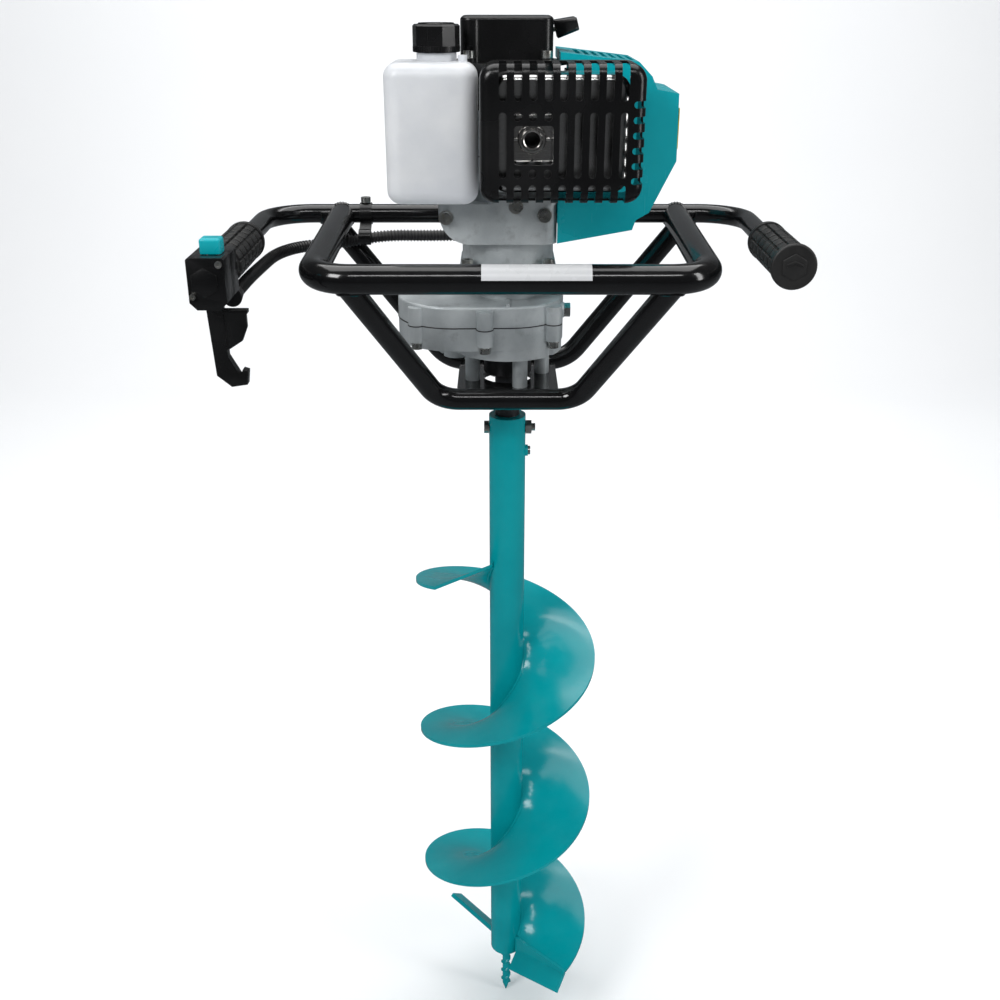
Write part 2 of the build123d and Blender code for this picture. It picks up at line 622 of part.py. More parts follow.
def cylinder_shroud():
    low_y, high_y = -47.0, 60.0
    shell = extrude(Plane.XZ * shroud_outline(0), amount=-(high_y - low_y))
    shell = Pos(0, low_y, 0) * shell
    inner = Pos(0, low_y + 2.5, 0) * extrude(Plane.XZ * shroud_outline(2.5), amount=-(high_y - low_y - 5.0))
    shell -= inner
    shell -= box((40, FAN_R + 0.6), (-60, 70), (CRANKCASE_TOP - 20, FAN_TOP + 0.4))
    shell -= box((40, 50.0), (-44.0, 57.0), (980, FAN_TOP + 0.4))
    shell -= box((58.0, 94.0), (-50, -43), (1045, 1080))
    shell -= box((58.0, 94.0), (50, 66), (1042, 1082))
    for i in range(7):
        x = 60.0 + 8.0 * i
        shell -= box((x, x + 4.5), (-30, 42), (1138, 1160))
    return shell


def shroud_patch():
    return box((153.2, 153.9), (-40, -20), (1070, 1105))


def carburettor():
    body = soft_box((58, 94), (48.5, 92.0), (1044, 1082), 5, Axis.Y)
    bowl = cyl(14.0, 1036.0, 1045.0, 76, 77)
    seat = cyl_along((-1, 0, 0), 10.0, (58.5, PRIMER_Y, PRIMER_Z), 6.5)
    body += bowl + seat
    body -= cyl_along((-1, 0, 0), 7.6, (57.9, PRIMER_Y, PRIMER_Z), 8.0)
    return body - cyl_along((0, 1, 0), 9.0, (76, 40, CYLINDER_Z), 60)


def air_filter_cover():
    low_y = 92.1
    shell = soft_box((44, 112), (low_y, 128), (1018, 1106), 12, Axis.Y)
    shell = fillet(shell.edges().group_by(Axis.Y)[-1], 5.0)
    shell -= soft_box((47, 109), (low_y + 3, 125), (1021, 1103), 9, Axis.Y)
    shell -= cyl_along((0, 1, 0), 10.0, (76, 90, CYLINDER_Z), 8)
    knob = cyl_along((0, 1, 0), 9.0, (78, 128.0, 1062), 8.0)
    return shell + knob


def choke_lever():
    hub = cyl_along((1, 0, 0), 6.0, (94.3, 84.0, 1074.0), 5.0)
    arm = soft_box((95.3, 98.3), (79.0, 89.0), (1074.0, 1100.0), 3, Axis.X)
    return hub + arm


def primer_bulb():
    bulb = cyl_along((-1, 0, 0), 7.2, (53.2, PRIMER_Y, PRIMER_Z), 8.0)
    return fillet(bulb.edges().group_by(Axis.X)[0], 5.0)


def fuel_tank_body(inset):
    x0, x1 = TANK_X[0] + inset, TANK_X[1] - inset
    y0, y1 = TANK_Y[0] + inset, TANK_Y[1] - inset
    cut = 40.0 + inset * 0.6
    plan = make_face(Polyline((x0, y0), (x1, y0), (x1, y1 - cut), (x1 - cut, y1), (x0, y1), close=True))
    plan = fillet(plan.vertices(), 14.0 - inset)
    block = extrude(Pos(0, 0, TANK_Z[0] + inset) * plan, amount=TANK_Z[1] - TANK_Z[0] - 2 * inset)
    ends = block.edges().group_by(Axis.Z)
    return fillet(ends[0] + ends[-1], 12.0 - inset)


def fuel_tank():
    neck = cyl(17.5, TANK_Z[1] - 3, 1152.5, *CAP_XY) + cyl(15.0, 1150.0, 1168.0, *CAP_XY)
    tank = fuel_tank_body(0) + neck
    fitting = cyl(4.0, TANK_Z[1] - 2, 1151.0, -40.0, -62.0)
    tank += fitting
    return tank - fuel_tank_body(TANK_WALL) - cyl(12.5, 1140.0, 1170.0, *CAP_XY)


def fuel_cap():
    low, high = 1153.0, 1175.5
    outline = RegularPolygon(20.6, 10)
    body = Pos(*CAP_XY, low + 5) * extrude(outline, amount=high - low - 5)
    body = chamfer(body.edges().group_by(Axis.Z)[-1], 1.5)
    body += cyl(20.4, low, low + 5, *CAP_XY)
    return body - cyl(15.3, low - 1, 1168.6, *CAP_XY)


def tank_bracket():
    """Folded plate under the tank, seated on the crankcase foot, with an upstand behind the tank."""
    plate = box((-95, -46), (-45, -12.8), (CRANKCASE_STEP + 0.1, TANK_Z[0] - 0.1))
    upstand = box((-95, -72), (-15.8, -12.8), (CRANKCASE_STEP + 0.1, 1085.0))
    return plate + upstand


def fuel_hose():
    """Hose from the back of the tank round the crankcase to the carburettor."""
    route = [(-84.0, -15.9, 1110.0), (-84.0, 12.0, 1110.0), (-74.0, 42.0, 1106.0), (-50.0, 62.0, 1096.0),
             (-16.0, 70.0, 1084.0), (20.0, 76.0, 1073.0), (57.9, 76.0, 1073.0)]
    return bent_tube(route, [40.0, 30.0, 34.0, 60.0, 60.0], 3.0)


def engine_screws():
    """Clutch flange, crankcase, recoil and muffler cover screws, all the same socket pattern."""
    parts = [screw((x, y, 961.1), (0, 0, -1), 3.1, 12.0, 5.5, 8.0) for x, y in NECK_BOLTS]
    parts += [screw((p[0], p[1] - 0.1, p[2]), (0, 1, 0), 3.0, depth, 5.5, 6.0) for p, depth in CASE_SCREWS]
    parts += [screw((x, y, FAN_TOP + 4.2), (0, 0, -1), 2.0, 10.0, 5.0, 6.0) for x, y in STARTER_LUGS]
    return group(*parts)


# ---- frame ----
def handlebar_path():
    left, right, y, z = HANDLE_LEFT, HANDLE_RIGHT, HANDLE_Y, HANDLE_Z
    return [(left, -196.0, z - ARM_DROP), (left, y, z), (right, y, z), (right, -144.0, z - ARM_DROP)]


def handlebar_solid(outer, inner=0.0):
    return bent_tube(handlebar_path(), [45.0, 45.0], outer, inner)


def hoop_solid(outer, inner=0.0):
    left, right = HOOP_X
    path = [(left, HANDLE_Y, HOOP_Z + 10), (left, HOOP_Y, HOOP_Z), (right, HOOP_Y, HOOP_Z),
            (right, HANDLE_Y, HOOP_Z + 10)]
    return bent_tube(path, [36.0, 36.0], outer, inner)


def front_hoop():
    return hoop_solid(HOOP_R, HOOP_R - TUBE_THICK) - handlebar_solid(HANDLE_R + 0.1)


def cradle(points, radius, cutters):
    """Bent tube cut back to the tubes it is welded to, without the stubs beyond them."""
    tube = bent_tube(points, [radius, radius], CRADLE_R, CRADLE_R - TUBE_THICK)
    for cutter in cutters:
        tube -= cutter
    return tube.solids().sort_by(SortBy.VOLUME)[-1]


def front_cradle():
    low = PLATE_TOP - 5
    points = [(-143.0, HOOP_Y, HOOP_Z), (-67.0, -CRADLE_Y, low), (67.0, -CRADLE_Y, low),
              (146.0, HOOP_Y, HOOP_Z)]
    return cradle(points, 30.0, [hoop_solid(HOOP_R + 0.1)])


def rear_cradle():
    low = PLATE_TOP - 2
    points = [(-187.0, HANDLE_Y, HANDLE_Z - 1), (-62.0, CRADLE_Y, low), (62.0, CRADLE_Y, low),
              (189.0, HANDLE_Y, HANDLE_Z - 1)]
    return cradle(points, 40.0, [handlebar_solid(HANDLE_R + 0.1), hoop_solid(HOOP_R + 0.1)])


def label_plate():
    start, length = -23.5, 94.0
    plate = cyl_along((1, 0, 0), HOOP_R + 0.7, (start, HOOP_Y, HOOP_Z), length)
    plate -= cyl_along((1, 0, 0), HOOP_R + 0.1, (start - 1, HOOP_Y, HOOP_Z), length + 2)
    return plate & box((start, start + length), (HOOP_Y - 16, HOOP_Y - 2), (HOOP_Z + 2, HOOP_Z + 16))


# ---- grips and throttle ----
def grip(x, front, back):
    """Rubber sleeve with raised blocks in rows."""
    sleeve = cyl_along((0, 1, 0), GRIP_R - 1.2, (x, front, GRIP_Z), back - front)
    pitch = 12.0
    rows = int((back - front - 8.0) / pitch)
    for row in range(rows):
        y = front + 5.0 + pitch * row
        band = cyl_along((0, 1, 0), GRIP_R, (x, y, GRIP_Z), pitch - 2.0)
        sleeve += band
    for i in range(8):
        groove = Pos(x, (front + back) / 2, GRIP_Z) * Rot(0, 45 * i + 22.5, 0) * Pos(0, 0, GRIP_R) * Box(
            2.0, back - front - 10.0, 2.4)
        sleeve -= groove
    return sleeve


def right_grip():
    front, back = -152.0, -40.0
    body = grip(HANDLE_RIGHT, front + 6, back)
    disc = cyl_along((0, 1, 0), 20.0, (HANDLE_RIGHT, front, GRIP_Z), 6.0)
    collar = cyl_along((0, 1, 0), 19.0, (HANDLE_RIGHT, back - 4, GRIP_Z), 4.0)
    body += disc + collar
    return body - handlebar_bore()


def left_grip():
    body = grip(HANDLE_LEFT, -150.0, -40.0)
    collar = cyl_along((0, 1, 0), 19.0, (HANDLE_LEFT, -44.0, GRIP_Z), 4.0)
    body += collar
    return body - handlebar_bore()


def handlebar_bore():
    return handlebar_solid(HANDLE_R + 0.1)


def control_shell():
    """Throttle control body: an upright block with cut lower corners and a lever slot below."""
    block = box(CONTROL_X, CONTROL_Y, CONTROL_Z)
    low_edges = block.edges().filter_by(Axis.Y).group_by(Axis.Z)[0]
    block = chamfer(low_edges, 6.0)
    block = fillet(block.edges().filter_by(Axis.Y).group_by(Axis.Z)[-1], 2.5)
    face = Plane(origin=(HANDLE_LEFT - 1.5, CONTROL_Y[0], 985.0), z_dir=(0, -1, 0))
    block += extrude(face * RegularPolygon(12.0, 6), amount=1.5)
    block -= handlebar_bore()
    block -= box((-255.0, -236.0), (-196.0, -160.0), (950, 976.5))
    block -= box((-251.0, -237.0), (-190.0, -168.0), (1002, 1010))
    block -= cyl_along((1, 0, 0), 2.1, (-261.0, LEVER_PIVOT[1], LEVER_PIVOT[2]), 29.0)
    for x, z, radius in CONTROL_SCREWS:
        block -= cyl_along((0, 1, 0), radius + 0.1, (x, CONTROL_Y[0] - 3, z), 22.0)
    return block


def throttle_housing_front():
    return control_shell() & box((-280, -220), (-210, -176.05), (940, 1020))


def throttle_housing_rear():
    rear = control_shell() & box((-280, -220), (-175.95, -150), (940, 1020))
    return rear - cyl_along((0, 1, 0), 5.1, (-240.0, -165.0, 966.0), 20)


def throttle_lever():
    """Long finger lever: eye at the pivot, straight arm, tip hooked inwards, paddle inside."""
    x, y, z = LEVER_PIVOT
    eye = cyl_along((1, 0, 0), 6.5, (x - 7.0, y, z), 14.0)
    outline = make_face(Polyline((x - 7.0, z), (x + 7.0, z), (x + 8.0, 918.0), (x + 17.0, 901.0),
                                 (x + 19.5, 906.5), (x + 24.0, 905.0), (x + 22.5, 893.0), (x + 9.0, 891.0),
                                 (x - 3.0, 901.0), close=True))
    arm = Pos(0, y + 4.5, 0) * extrude(Plane.XZ * outline, amount=9.0)
    paddle_face = make_face(Polyline((x + 6.0, 957.5), (x + 26.0, 957.5), (x + 26.0, 943.0),
                                     (x + 21.0, 931.0), (x + 7.0, 922.0), close=True))
    paddle = Pos(0, y + 2, 0) * extrude(Plane.XZ * paddle_face, amount=4.0)
    lip = box((x + 6.0, x + 27.5), (y - 4, y + 4), (955.0, 958.0))
    return eye + arm + paddle + lip - cyl_along((1, 0, 0), 2.05, (x - 9, y, z), 20)


def stop_switch():
    top = CONTROL_Z[1]
    cap = soft_box((-253.0, -235.5), (-187.0, -171.5), (top + 0.3, top + 13.0), 2)
    cap = fillet(cap.edges().filter_by(Axis.X).group_by(Axis.Z)[-1], 2.5)
    return cap + box((-247.0, -241.0), (-184, -174), (top - 2.5, top + 1.0))


def control_fasteners():
    """Two clamp screws and the lever pin in the control, and the cable clip's screw on the rear bar."""
    parts = [screw((x, CONTROL_Y[0] - 0.1, z), (0, 1, 0), radius, 16.0, radius * 1.8, 2.5)
             for x, z, radius in CONTROL_SCREWS]
    parts.append(screw((CLIP_X, HANDLE_Y, HANDLE_Z + 11.7), (0, 0, -1), 1.9, 1.2, 5.0, 5.0))
    parts.append(cyl_along((1, 0, 0), 2.0, (-260.9, LEVER_PIVOT[1], LEVER_PIVOT[2]), 28.0))
    return group(*parts)


def cable_clip():
    """Strap round the rear bar with a smaller loop that holds the cable below and in front of it."""
    x = CLIP_X
    outer = cyl_along((1, 0, 0), HANDLE_R + 1.6, (x - 6, HANDLE_Y, HANDLE_Z), 12.0)
    loop = cyl_along((1, 0, 0), LOOM_R + 2.0, (x - 6, CABLE_Y, CABLE_Z - 2.0), 12.0)
    neck = make_face(Polyline((HANDLE_Y - 8, HANDLE_Z - 6), (HANDLE_Y - 6, HANDLE_Z - 8),
                              (CABLE_Y + 4, CABLE_Z + 2), (CABLE_Y + 2, CABLE_Z + 4), close=True))
    clip = outer + loop + extrude(Plane.YZ * Pos(0, 0, x - 6) * neck, amount=12.0)
    clip -= cyl_along((1, 0, 0), HANDLE_R + 0.1, (x - 7, HANDLE_Y, HANDLE_Z), 14.0)
    clip -= cyl_along((0, 0, 1), 2.0, (x, HANDLE_Y, HANDLE_Z), 14.0)
    return clip - throttle_tube(LOOM_R + 0.15)


def throttle_tube(radius):
    y, z = CABLE_Y, CABLE_Z
    route = [(-238.0, -151.9, 961.0), (-238.0, -90.0, 961.0), (-237.0, -28.0, 959.0), (-232.0, 30.0, 960.0),
             (-210.0, 62.0, 961.0), (-174.0, y, 961.0), (-128.0, y, z), (-76.0, y + 1, z - 1),
             (-24.0, y, z + 1), (18.0, y + 1, 983.0), (50.0, y + 3, 996.0), (72.0, y + 5, 1012.0),
             (72.0, y + 5, 1035.9)]
    radii = [120.0, 120.0, 80.0, 42.0, 90.0, 120.0, 120.0, 90.0, 90.0, 60.0, 16.0]
    return bent_tube(route, radii, radius)


def throttle_cable():
    """Cable in its loom from the control, under the grip and the rear bar, to the carburettor."""
    return throttle_tube(LOOM_R)


NODES = {
    "bit_tube": bit_tube, "bit_flight": bit_flight, "cutting_blades": cutting_blades,
    "pilot_screw": pilot_screw, "coupling_fasteners": coupling_fasteners, "output_shaft": output_shaft,
    "output_gear": output_gear, "layshaft": layshaft, "clutch_drum": clutch_drum, "bearings": bearings,
    "gearbox_lower_case": gearbox_lower_case, "gearbox_upper_case": gearbox_upper_case,
    "gearbox_bolts": gearbox_bolts, "oil_plug": oil_plug,
    "output_bearing_housing": output_bearing_housing, "spacer_columns": spacer_columns,
    "base_plate": base_plate, "clutch_housing": clutch_housing, "clutch_hub": clutch_hub,
    "crankcase_lower": crankcase_lower, "crankcase_upper": crankcase_upper,
    "crankshaft": crankshaft, "flywheel": flywheel, "piston": piston,
    "cylinder": cylinder, "spark_plug": spark_plug, "spark_lead": spark_lead,
    "ignition_coil": ignition_coil, "fan_housing": fan_housing, "starter_housing": starter_housing,
    "starter_pulley": starter_pulley, "starter_rope": starter_rope, "starter_handle": starter_handle,
    "muffler": muffler, "muffler_cover": muffler_cover, "cylinder_shroud": cylinder_shroud,
    "shroud_patch": shroud_patch, "carburettor": carburettor, "air_filter_cover": air_filter_cover,
    "choke_lever": choke_lever, "primer_bulb": primer_bulb, "fuel_tank": fuel_tank,
    "fuel_cap": fuel_cap, "tank_bracket": tank_bracket, "fuel_hose": fuel_hose,
    "engine_screws": engine_screws,
    "handlebar_tube": lambda: handlebar_solid(HANDLE_R, HANDLE_R - TUBE_THICK),
    "front_hoop": front_hoop, "front_cradle": front_cradle, "rear_cradle": rear_cradle,
    "label_plate": label_plate, "right_grip": right_grip, "left_grip": left_grip,
    "throttle_housing_front": throttle_housing_front, "throttle_housing_rear": throttle_housing_rear,
    "throttle_lever": throttle_lever, "stop_switch": stop_switch,
    "control_fasteners": control_fasteners, "throttle_cable": throttle_cable, "cable_clip": cable_clip,
}


def main():
    os.makedirs("parts", exist_ok=True)
    for name, build in NODES.items():
        export_step(build(), f"parts/{name}.step")


main()
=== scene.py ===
import json
from math import atan2, cos, pi, radians, sin, sqrt, tau

import bpy
from mathutils import Matrix, Vector


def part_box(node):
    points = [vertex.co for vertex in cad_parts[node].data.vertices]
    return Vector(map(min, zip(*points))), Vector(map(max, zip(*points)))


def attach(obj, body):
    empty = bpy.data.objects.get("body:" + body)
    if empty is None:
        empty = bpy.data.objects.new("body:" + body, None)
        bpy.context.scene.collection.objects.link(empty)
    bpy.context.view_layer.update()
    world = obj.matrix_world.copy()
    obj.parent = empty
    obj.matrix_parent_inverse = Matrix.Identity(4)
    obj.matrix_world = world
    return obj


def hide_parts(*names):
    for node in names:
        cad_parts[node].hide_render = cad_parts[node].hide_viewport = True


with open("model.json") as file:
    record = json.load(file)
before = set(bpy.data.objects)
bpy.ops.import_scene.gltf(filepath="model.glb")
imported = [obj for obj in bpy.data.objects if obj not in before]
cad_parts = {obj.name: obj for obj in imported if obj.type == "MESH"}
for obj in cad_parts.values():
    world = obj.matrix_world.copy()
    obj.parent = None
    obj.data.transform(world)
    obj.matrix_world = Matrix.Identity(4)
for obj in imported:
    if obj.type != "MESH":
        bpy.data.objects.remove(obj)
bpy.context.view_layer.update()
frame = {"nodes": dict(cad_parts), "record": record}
cad = frame["nodes"]

# Two-handed petrol auger. Metres, the bit turns about Z, the operator's bars are on the -Y side.
SHARP = radians(32.0)     # edges steeper than this stay crisp when a piece is smoothed
FLAT = (0.0, 0.0, 0.0)
FACING_Y = (pi / 2, 0.0, 0.0)

GRIP_Z = 0.9866
GRIP_BORE = 0.0103        # radius of the arm plus its clearance
GRIP_R = 0.0158
LEFT_ARM = -0.2465
RIGHT_ARM = 0.243
HOOP = (-0.150, 0.976)    # Y and Z of the hoop's front bar
HOOP_R = 0.013
HANDLE = (0.095, 0.988)   # Y and Z of the handlebar's rear run
HANDLE_R = 0.0095
CRADLE_WELD_R = 0.0107
FLIGHT_START = radians(-43.0)
FLIGHT_TURN = radians(984.0)
FLIGHT_PITCH = 0.194
FLIGHT_Z = 0.124          # height of the flight where it crosses +X
FLIGHT_WELD_R = 0.0196
OUTLET_X, OUTLET_Z = 0.0194, 1.0876
CAP_CENTRE = (-0.063, -0.050)
CAP_RIBS = 96             # faces round the cap's skirt, every other one raised
GEARBOX_SPLIT = 0.9064
CRANKCASE_SPLIT = 1.0624


# ---- studio ----
def set_camera():
    data = bpy.data.cameras.new("studio_camera")
    data.sensor_width = 36.0
    data.lens = 41.83
    camera = bpy.data.objects.new("studio_camera", data)
    camera.location = (-0.0076, -1.135, 1.208)
    camera.rotation_euler = (radians(66.0), 0.0, 0.0)
    bpy.context.scene.collection.objects.link(camera)
    bpy.context.scene.camera = camera


SOFTBOXES = {             # place, aim, width, height, watts
    "key_left": ((-1.5, -1.7, 2.3), (0.0, 0.0, 0.75), 0.9, 0.9, 30.0),
    "fill_right": ((1.9, -0.9, 1.5), (0.0, 0.0, 0.8), 0.4, 1.6, 13.0),
    "strip_front": ((0.3, -1.9, 2.6), (0.0, 0.0, 0.9), 1.8, 0.22, 11.0),
    "overhead": ((0.0, 0.6, 3.1), (0.0, 0.5, 0.0), 3.0, 2.4, 52.0),
    "back_wall": ((0.0, 1.2, 2.9), (0.0, 3.4, 1.2), 3.2, 0.8, 46.0),
}


def softbox(name, place, aim, width, height, power):
    data = bpy.data.lights.new(name, "AREA")
    data.shape = "RECTANGLE"
    data.size = width
    data.size_y = height
    data.energy = power
    lamp = bpy.data.objects.new(name, data)
    lamp.location = place
    lamp.rotation_euler = (Vector(aim) - Vector(place)).to_track_quat("-Z", "Y").to_euler()
    bpy.context.scene.collection.objects.link(lamp)


def set_lights():
    """Softboxes in a pale room that glossy surfaces see as nearly dark."""
    world = bpy.data.worlds.new("studio_air")
    world.use_nodes = True
    world.node_tree.nodes["Background"].inputs["Color"].default_value = (0.95, 0.97, 1.0, 1.0)
    rays = world.node_tree.nodes.new("ShaderNodeLightPath").outputs["Is Glossy Ray"]
    strength = spread_out(world.node_tree, rays, 0.0, 1.0, 0.36, 0.06)
    world.node_tree.links.new(strength, world.node_tree.nodes["Background"].inputs["Strength"])
    bpy.context.scene.world = world
    for name, settings in SOFTBOXES.items():
        softbox(name, *settings)
    bpy.context.scene.view_settings.view_transform = "Standard"
    bpy.context.scene.view_settings.look = "None"


def lay_floor():
    """Pale sweep: a floor whose far edge turns up into the backdrop."""
    deselect()
    bpy.ops.mesh.primitive_plane_add(size=8.0, location=(0.0, -0.4, -0.0006))
    floor = bpy.context.object
    floor.name = "pale_sweep"
    bpy.ops.object.transform_apply(location=True, rotation=True, scale=True)
    edit_faces(floor, lambda face: False)
    bpy.ops.mesh.select_mode(type="EDGE")
    select_edges(floor, lambda a, b: a.y > 3.0 and b.y > 3.0)
    bpy.ops.mesh.extrude_region_move(TRANSFORM_OT_translate={"value": (0.0, 0.0, 3.6)})
    select_edges(floor, lambda a, b: a.y > 3.0 and b.y > 3.0 and a.z < 0.1 and b.z < 0.1)
    bpy.ops.mesh.bevel(offset=1.2, offset_pct=0, segments=16, profile=0.5)
    bpy.ops.object.mode_set(mode="OBJECT")
    bpy.ops.object.shade_smooth()
    material, tree, shader = new_material("pale_paper")
    spread = noise(tree, object_place(tree), 1.4, 2.0)
    paint = between(tree, spread, (0.86, 0.87, 0.88), (0.90, 0.905, 0.91))
    # Painted shade in the reflections: glossy rays see the floor dark grey while the camera sees it pale.
    rays = tree.nodes.new("ShaderNodeLightPath").outputs["Is Glossy Ray"]
    tree.links.new(between(tree, rays, paint, (0.12, 0.125, 0.13)), shader.inputs["Base Color"])
    shader.inputs["Roughness"].default_value = 0.85
    floor.data.materials.append(material)


# ---- selecting and finishing ----
def deselect():
    if bpy.context.object and bpy.context.object.mode != "OBJECT":
        bpy.ops.object.mode_set(mode="OBJECT")
    bpy.ops.object.select_all(action="DESELECT")


def edit_faces(piece, wanted):
    """Enters edit mode with just the faces whose centre and normal pass the test selected."""
    deselect()
    piece.select_set(True)
    bpy.context.view_layer.objects.active = piece
    bpy.ops.object.mode_set(mode="EDIT")
    bpy.ops.mesh.select_mode(type="FACE")
    bpy.ops.mesh.select_all(action="DESELECT")
    bpy.ops.object.mode_set(mode="OBJECT")
    for face in piece.data.polygons:
        face.select = bool(wanted(face))
    bpy.ops.object.mode_set(mode="EDIT")


def open_mesh(piece):
    """Enters edit mode with the whole piece selected."""
    deselect()
    piece.select_set(True)
    bpy.context.view_layer.objects.active = piece
    bpy.ops.object.mode_set(mode="EDIT")
    bpy.ops.mesh.select_all(action="SELECT")


def select_edges(piece, wanted):
    bpy.ops.mesh.select_mode(type="EDGE")
    bpy.ops.mesh.select_all(action="DESELECT")
    bpy.ops.object.mode_set(mode="OBJECT")
    places = [vertex.co for vertex in piece.data.vertices]
    for edge in piece.data.edges:
        edge.select = bool(wanted(places[edge.vertices[0]], places[edge.vertices[1]]))
    bpy.ops.object.mode_set(mode="EDIT")


def apply_modifier(piece, kind, **settings):
    deselect()
    piece.select_set(True)
    bpy.context.view_layer.objects.active = piece
    modifier = piece.modifiers.new(kind.lower(), kind)
    for key, value in settings.items():
        setattr(modifier, key, value)
    bpy.ops.object.modifier_apply(modifier=modifier.name)


def settle(piece, name, slot, body):
    """Makes a finished piece: a mesh at the origin with its slot's paint and its body."""
    deselect()
    piece.name = name
    piece.select_set(True)
    bpy.context.view_layer.objects.active = piece
    if piece.type != "MESH":
        bpy.ops.object.convert(target="MESH")
        piece = bpy.context.object
        piece.name = name
    bpy.ops.object.transform_apply(location=True, rotation=True, scale=True)
    bpy.ops.object.mode_set(mode="EDIT")
    bpy.ops.mesh.select_all(action="SELECT")
    bpy.ops.mesh.remove_doubles(threshold=0.00001)
    bpy.ops.mesh.normals_make_consistent(inside=False)
    bpy.ops.object.mode_set(mode="OBJECT")
    bpy.ops.object.shade_smooth_by_angle(angle=SHARP)
    piece.data.materials.clear()
    piece.data.materials.append(finishes[slot])
    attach(piece, body)
    return piece


def join(first, others):
    deselect()
    for piece in [first, *others]:
        piece.select_set(True)
    bpy.context.view_layer.objects.active = first
    bpy.ops.object.join()
    return bpy.context.object


# ---- shader helpers ----
def new_material(name):
    material = bpy.data.materials.new(name)
    material.use_nodes = True
    tree = material.node_tree
    return material, tree, tree.nodes["Principled BSDF"]


def add(tree, kind, settings=None, **sockets):
    node = tree.nodes.new("ShaderNode" + kind)
    for key, value in (settings or {}).items():
        setattr(node, key, value)
    for label, value in sockets.items():
        feed(tree, node.inputs[label.replace("_", " ")], value)
    return node


def feed(tree, socket, value):
    if isinstance(value, bpy.types.NodeSocket):
        tree.links.new(value, socket)
    else:
        socket.default_value = value


def object_place(tree):
    return tree.nodes.new("ShaderNodeTexCoord").outputs["Object"]


def noise(tree, place, scale, detail, rough=0.55):
    return add(tree, "TexNoise", Vector=place, Scale=scale, Detail=detail, Roughness=rough).outputs["Fac"]


def stretched(tree, place, scale):
    return add(tree, "Mapping", Vector=place, Scale=scale).outputs["Vector"]


def sums(tree, operation, first, second):
    node = add(tree, "Math", {"operation": operation})
    feed(tree, node.inputs[0], first)
    feed(tree, node.inputs[1], second)
    return node.outputs[0]


def spread_out(tree, value, low, high, to_low=0.0, to_high=1.0):
    node = add(tree, "MapRange", Value=value, From_Min=low, From_Max=high, To_Min=to_low, To_Max=to_high)
    return node.outputs["Result"]


def between(tree, factor, first, second):
    node = add(tree, "Mix", {"data_type": "RGBA"})
    for index, value in ((0, factor), (6, first), (7, second)):
        if isinstance(value, tuple):
            value = (*value, 1.0)
        feed(tree, node.inputs[index], value)
    return node.outputs[2]


def new_group(name, inputs, outputs):
    group = bpy.data.node_groups.new(name, "ShaderNodeTree")
    for label, kind, value in inputs:
        socket = group.interface.new_socket(label, in_out="INPUT", socket_type="NodeSocket" + kind)
        if value is not None:
            socket.default_value = value
    for label in outputs:
        group.interface.new_socket(label, in_out="OUTPUT", socket_type="NodeSocketFloat")
    return group, group.nodes.new("NodeGroupInput"), group.nodes.new("NodeGroupOutput")


def grain_group():
    """Fine relief for bump and slow patches for colour and gloss."""
    group, given, result = new_group("surface_grain", [
        ("Place", "Vector", None), ("Fine", "Float", 600.0), ("Broad", "Float", 12.0)], ["Relief", "Patches"])
    relief = noise(group, given.outputs["Place"], given.outputs["Fine"], 2.5)
    patches = noise(group, given.outputs["Place"], given.outputs["Broad"], 4.0)
    group.links.new(relief, result.inputs["Relief"])
    group.links.new(spread_out(group, patches, 0.32, 0.68), result.inputs["Patches"])
    return group


def worn_edge_group():
    """Mask that is one on sharp outer edges, broken up by a noise."""
    group, given, result = new_group("worn_edges", [
        ("Place", "Vector", None), ("Width", "Float", 0.0008), ("Amount", "Float", 0.5)], ["Mask"])
    rounded = add(group, "Bevel", {"samples": 4}, Radius=given.outputs["Width"])
    flat = group.nodes.new("ShaderNodeNewGeometry")
    turn = add(group, "VectorMath", {"operation": "DOT_PRODUCT"})
    group.links.new(rounded.outputs["Normal"], turn.inputs[0])
    group.links.new(flat.outputs["Normal"], turn.inputs[1])
    edge = spread_out(group, turn.outputs["Value"], 0.985, 0.86)
    broken = spread_out(group, noise(group, given.outputs["Place"], 210.0, 5.0, 0.7), 0.44, 0.62)
    mask = sums(group, "MULTIPLY", sums(group, "MULTIPLY", edge, broken), given.outputs["Amount"])
    group.links.new(mask, result.inputs["Mask"])
    return group


def dust_group():
    """Mask of the thin dust that settles on what faces up."""
    group, given, result = new_group("settled_dust", [
        ("Place", "Vector", None), ("Amount", "Float", 0.2)], ["Mask"])
    facing = group.nodes.new("ShaderNodeNewGeometry")
    split = add(group, "SeparateXYZ", Vector=facing.outputs["Normal"])
    up = spread_out(group, split.outputs["Z"], 0.25, 1.0)
    cloud = spread_out(group, noise(group, given.outputs["Place"], 34.0, 6.0, 0.65), 0.38, 0.72)
    mask = sums(group, "MULTIPLY", sums(group, "MULTIPLY", up, cloud), given.outputs["Amount"])
    group.links.new(mask, result.inputs["Mask"])
    return group


def scratch_group():
    """Thin hairline scuffs, mostly along one direction."""
    group, given, result = new_group("hairline_scuffs", [
        ("Place", "Vector", None), ("Amount", "Float", 0.3)], ["Mask"])
    lines = noise(group, stretched(group, given.outputs["Place"], (900.0, 900.0, 26.0)), 1.0, 2.0, 0.4)
    thin = spread_out(group, lines, 0.66, 0.72)
    where = spread_out(group, noise(group, given.outputs["Place"], 18.0, 3.0), 0.5, 0.66)
    mask = sums(group, "MULTIPLY", sums(group, "MULTIPLY", thin, where), given.outputs["Amount"])
    group.links.new(mask, result.inputs["Mask"])
    return group


GRAIN = grain_group()
WORN = worn_edge_group()
DUST = dust_group()
SCUFFS = scratch_group()
DUST_COLOUR = (0.42, 0.41, 0.38)


def use(tree, group, **sockets):
    return add(tree, "Group", {"node_tree": group}, **sockets)


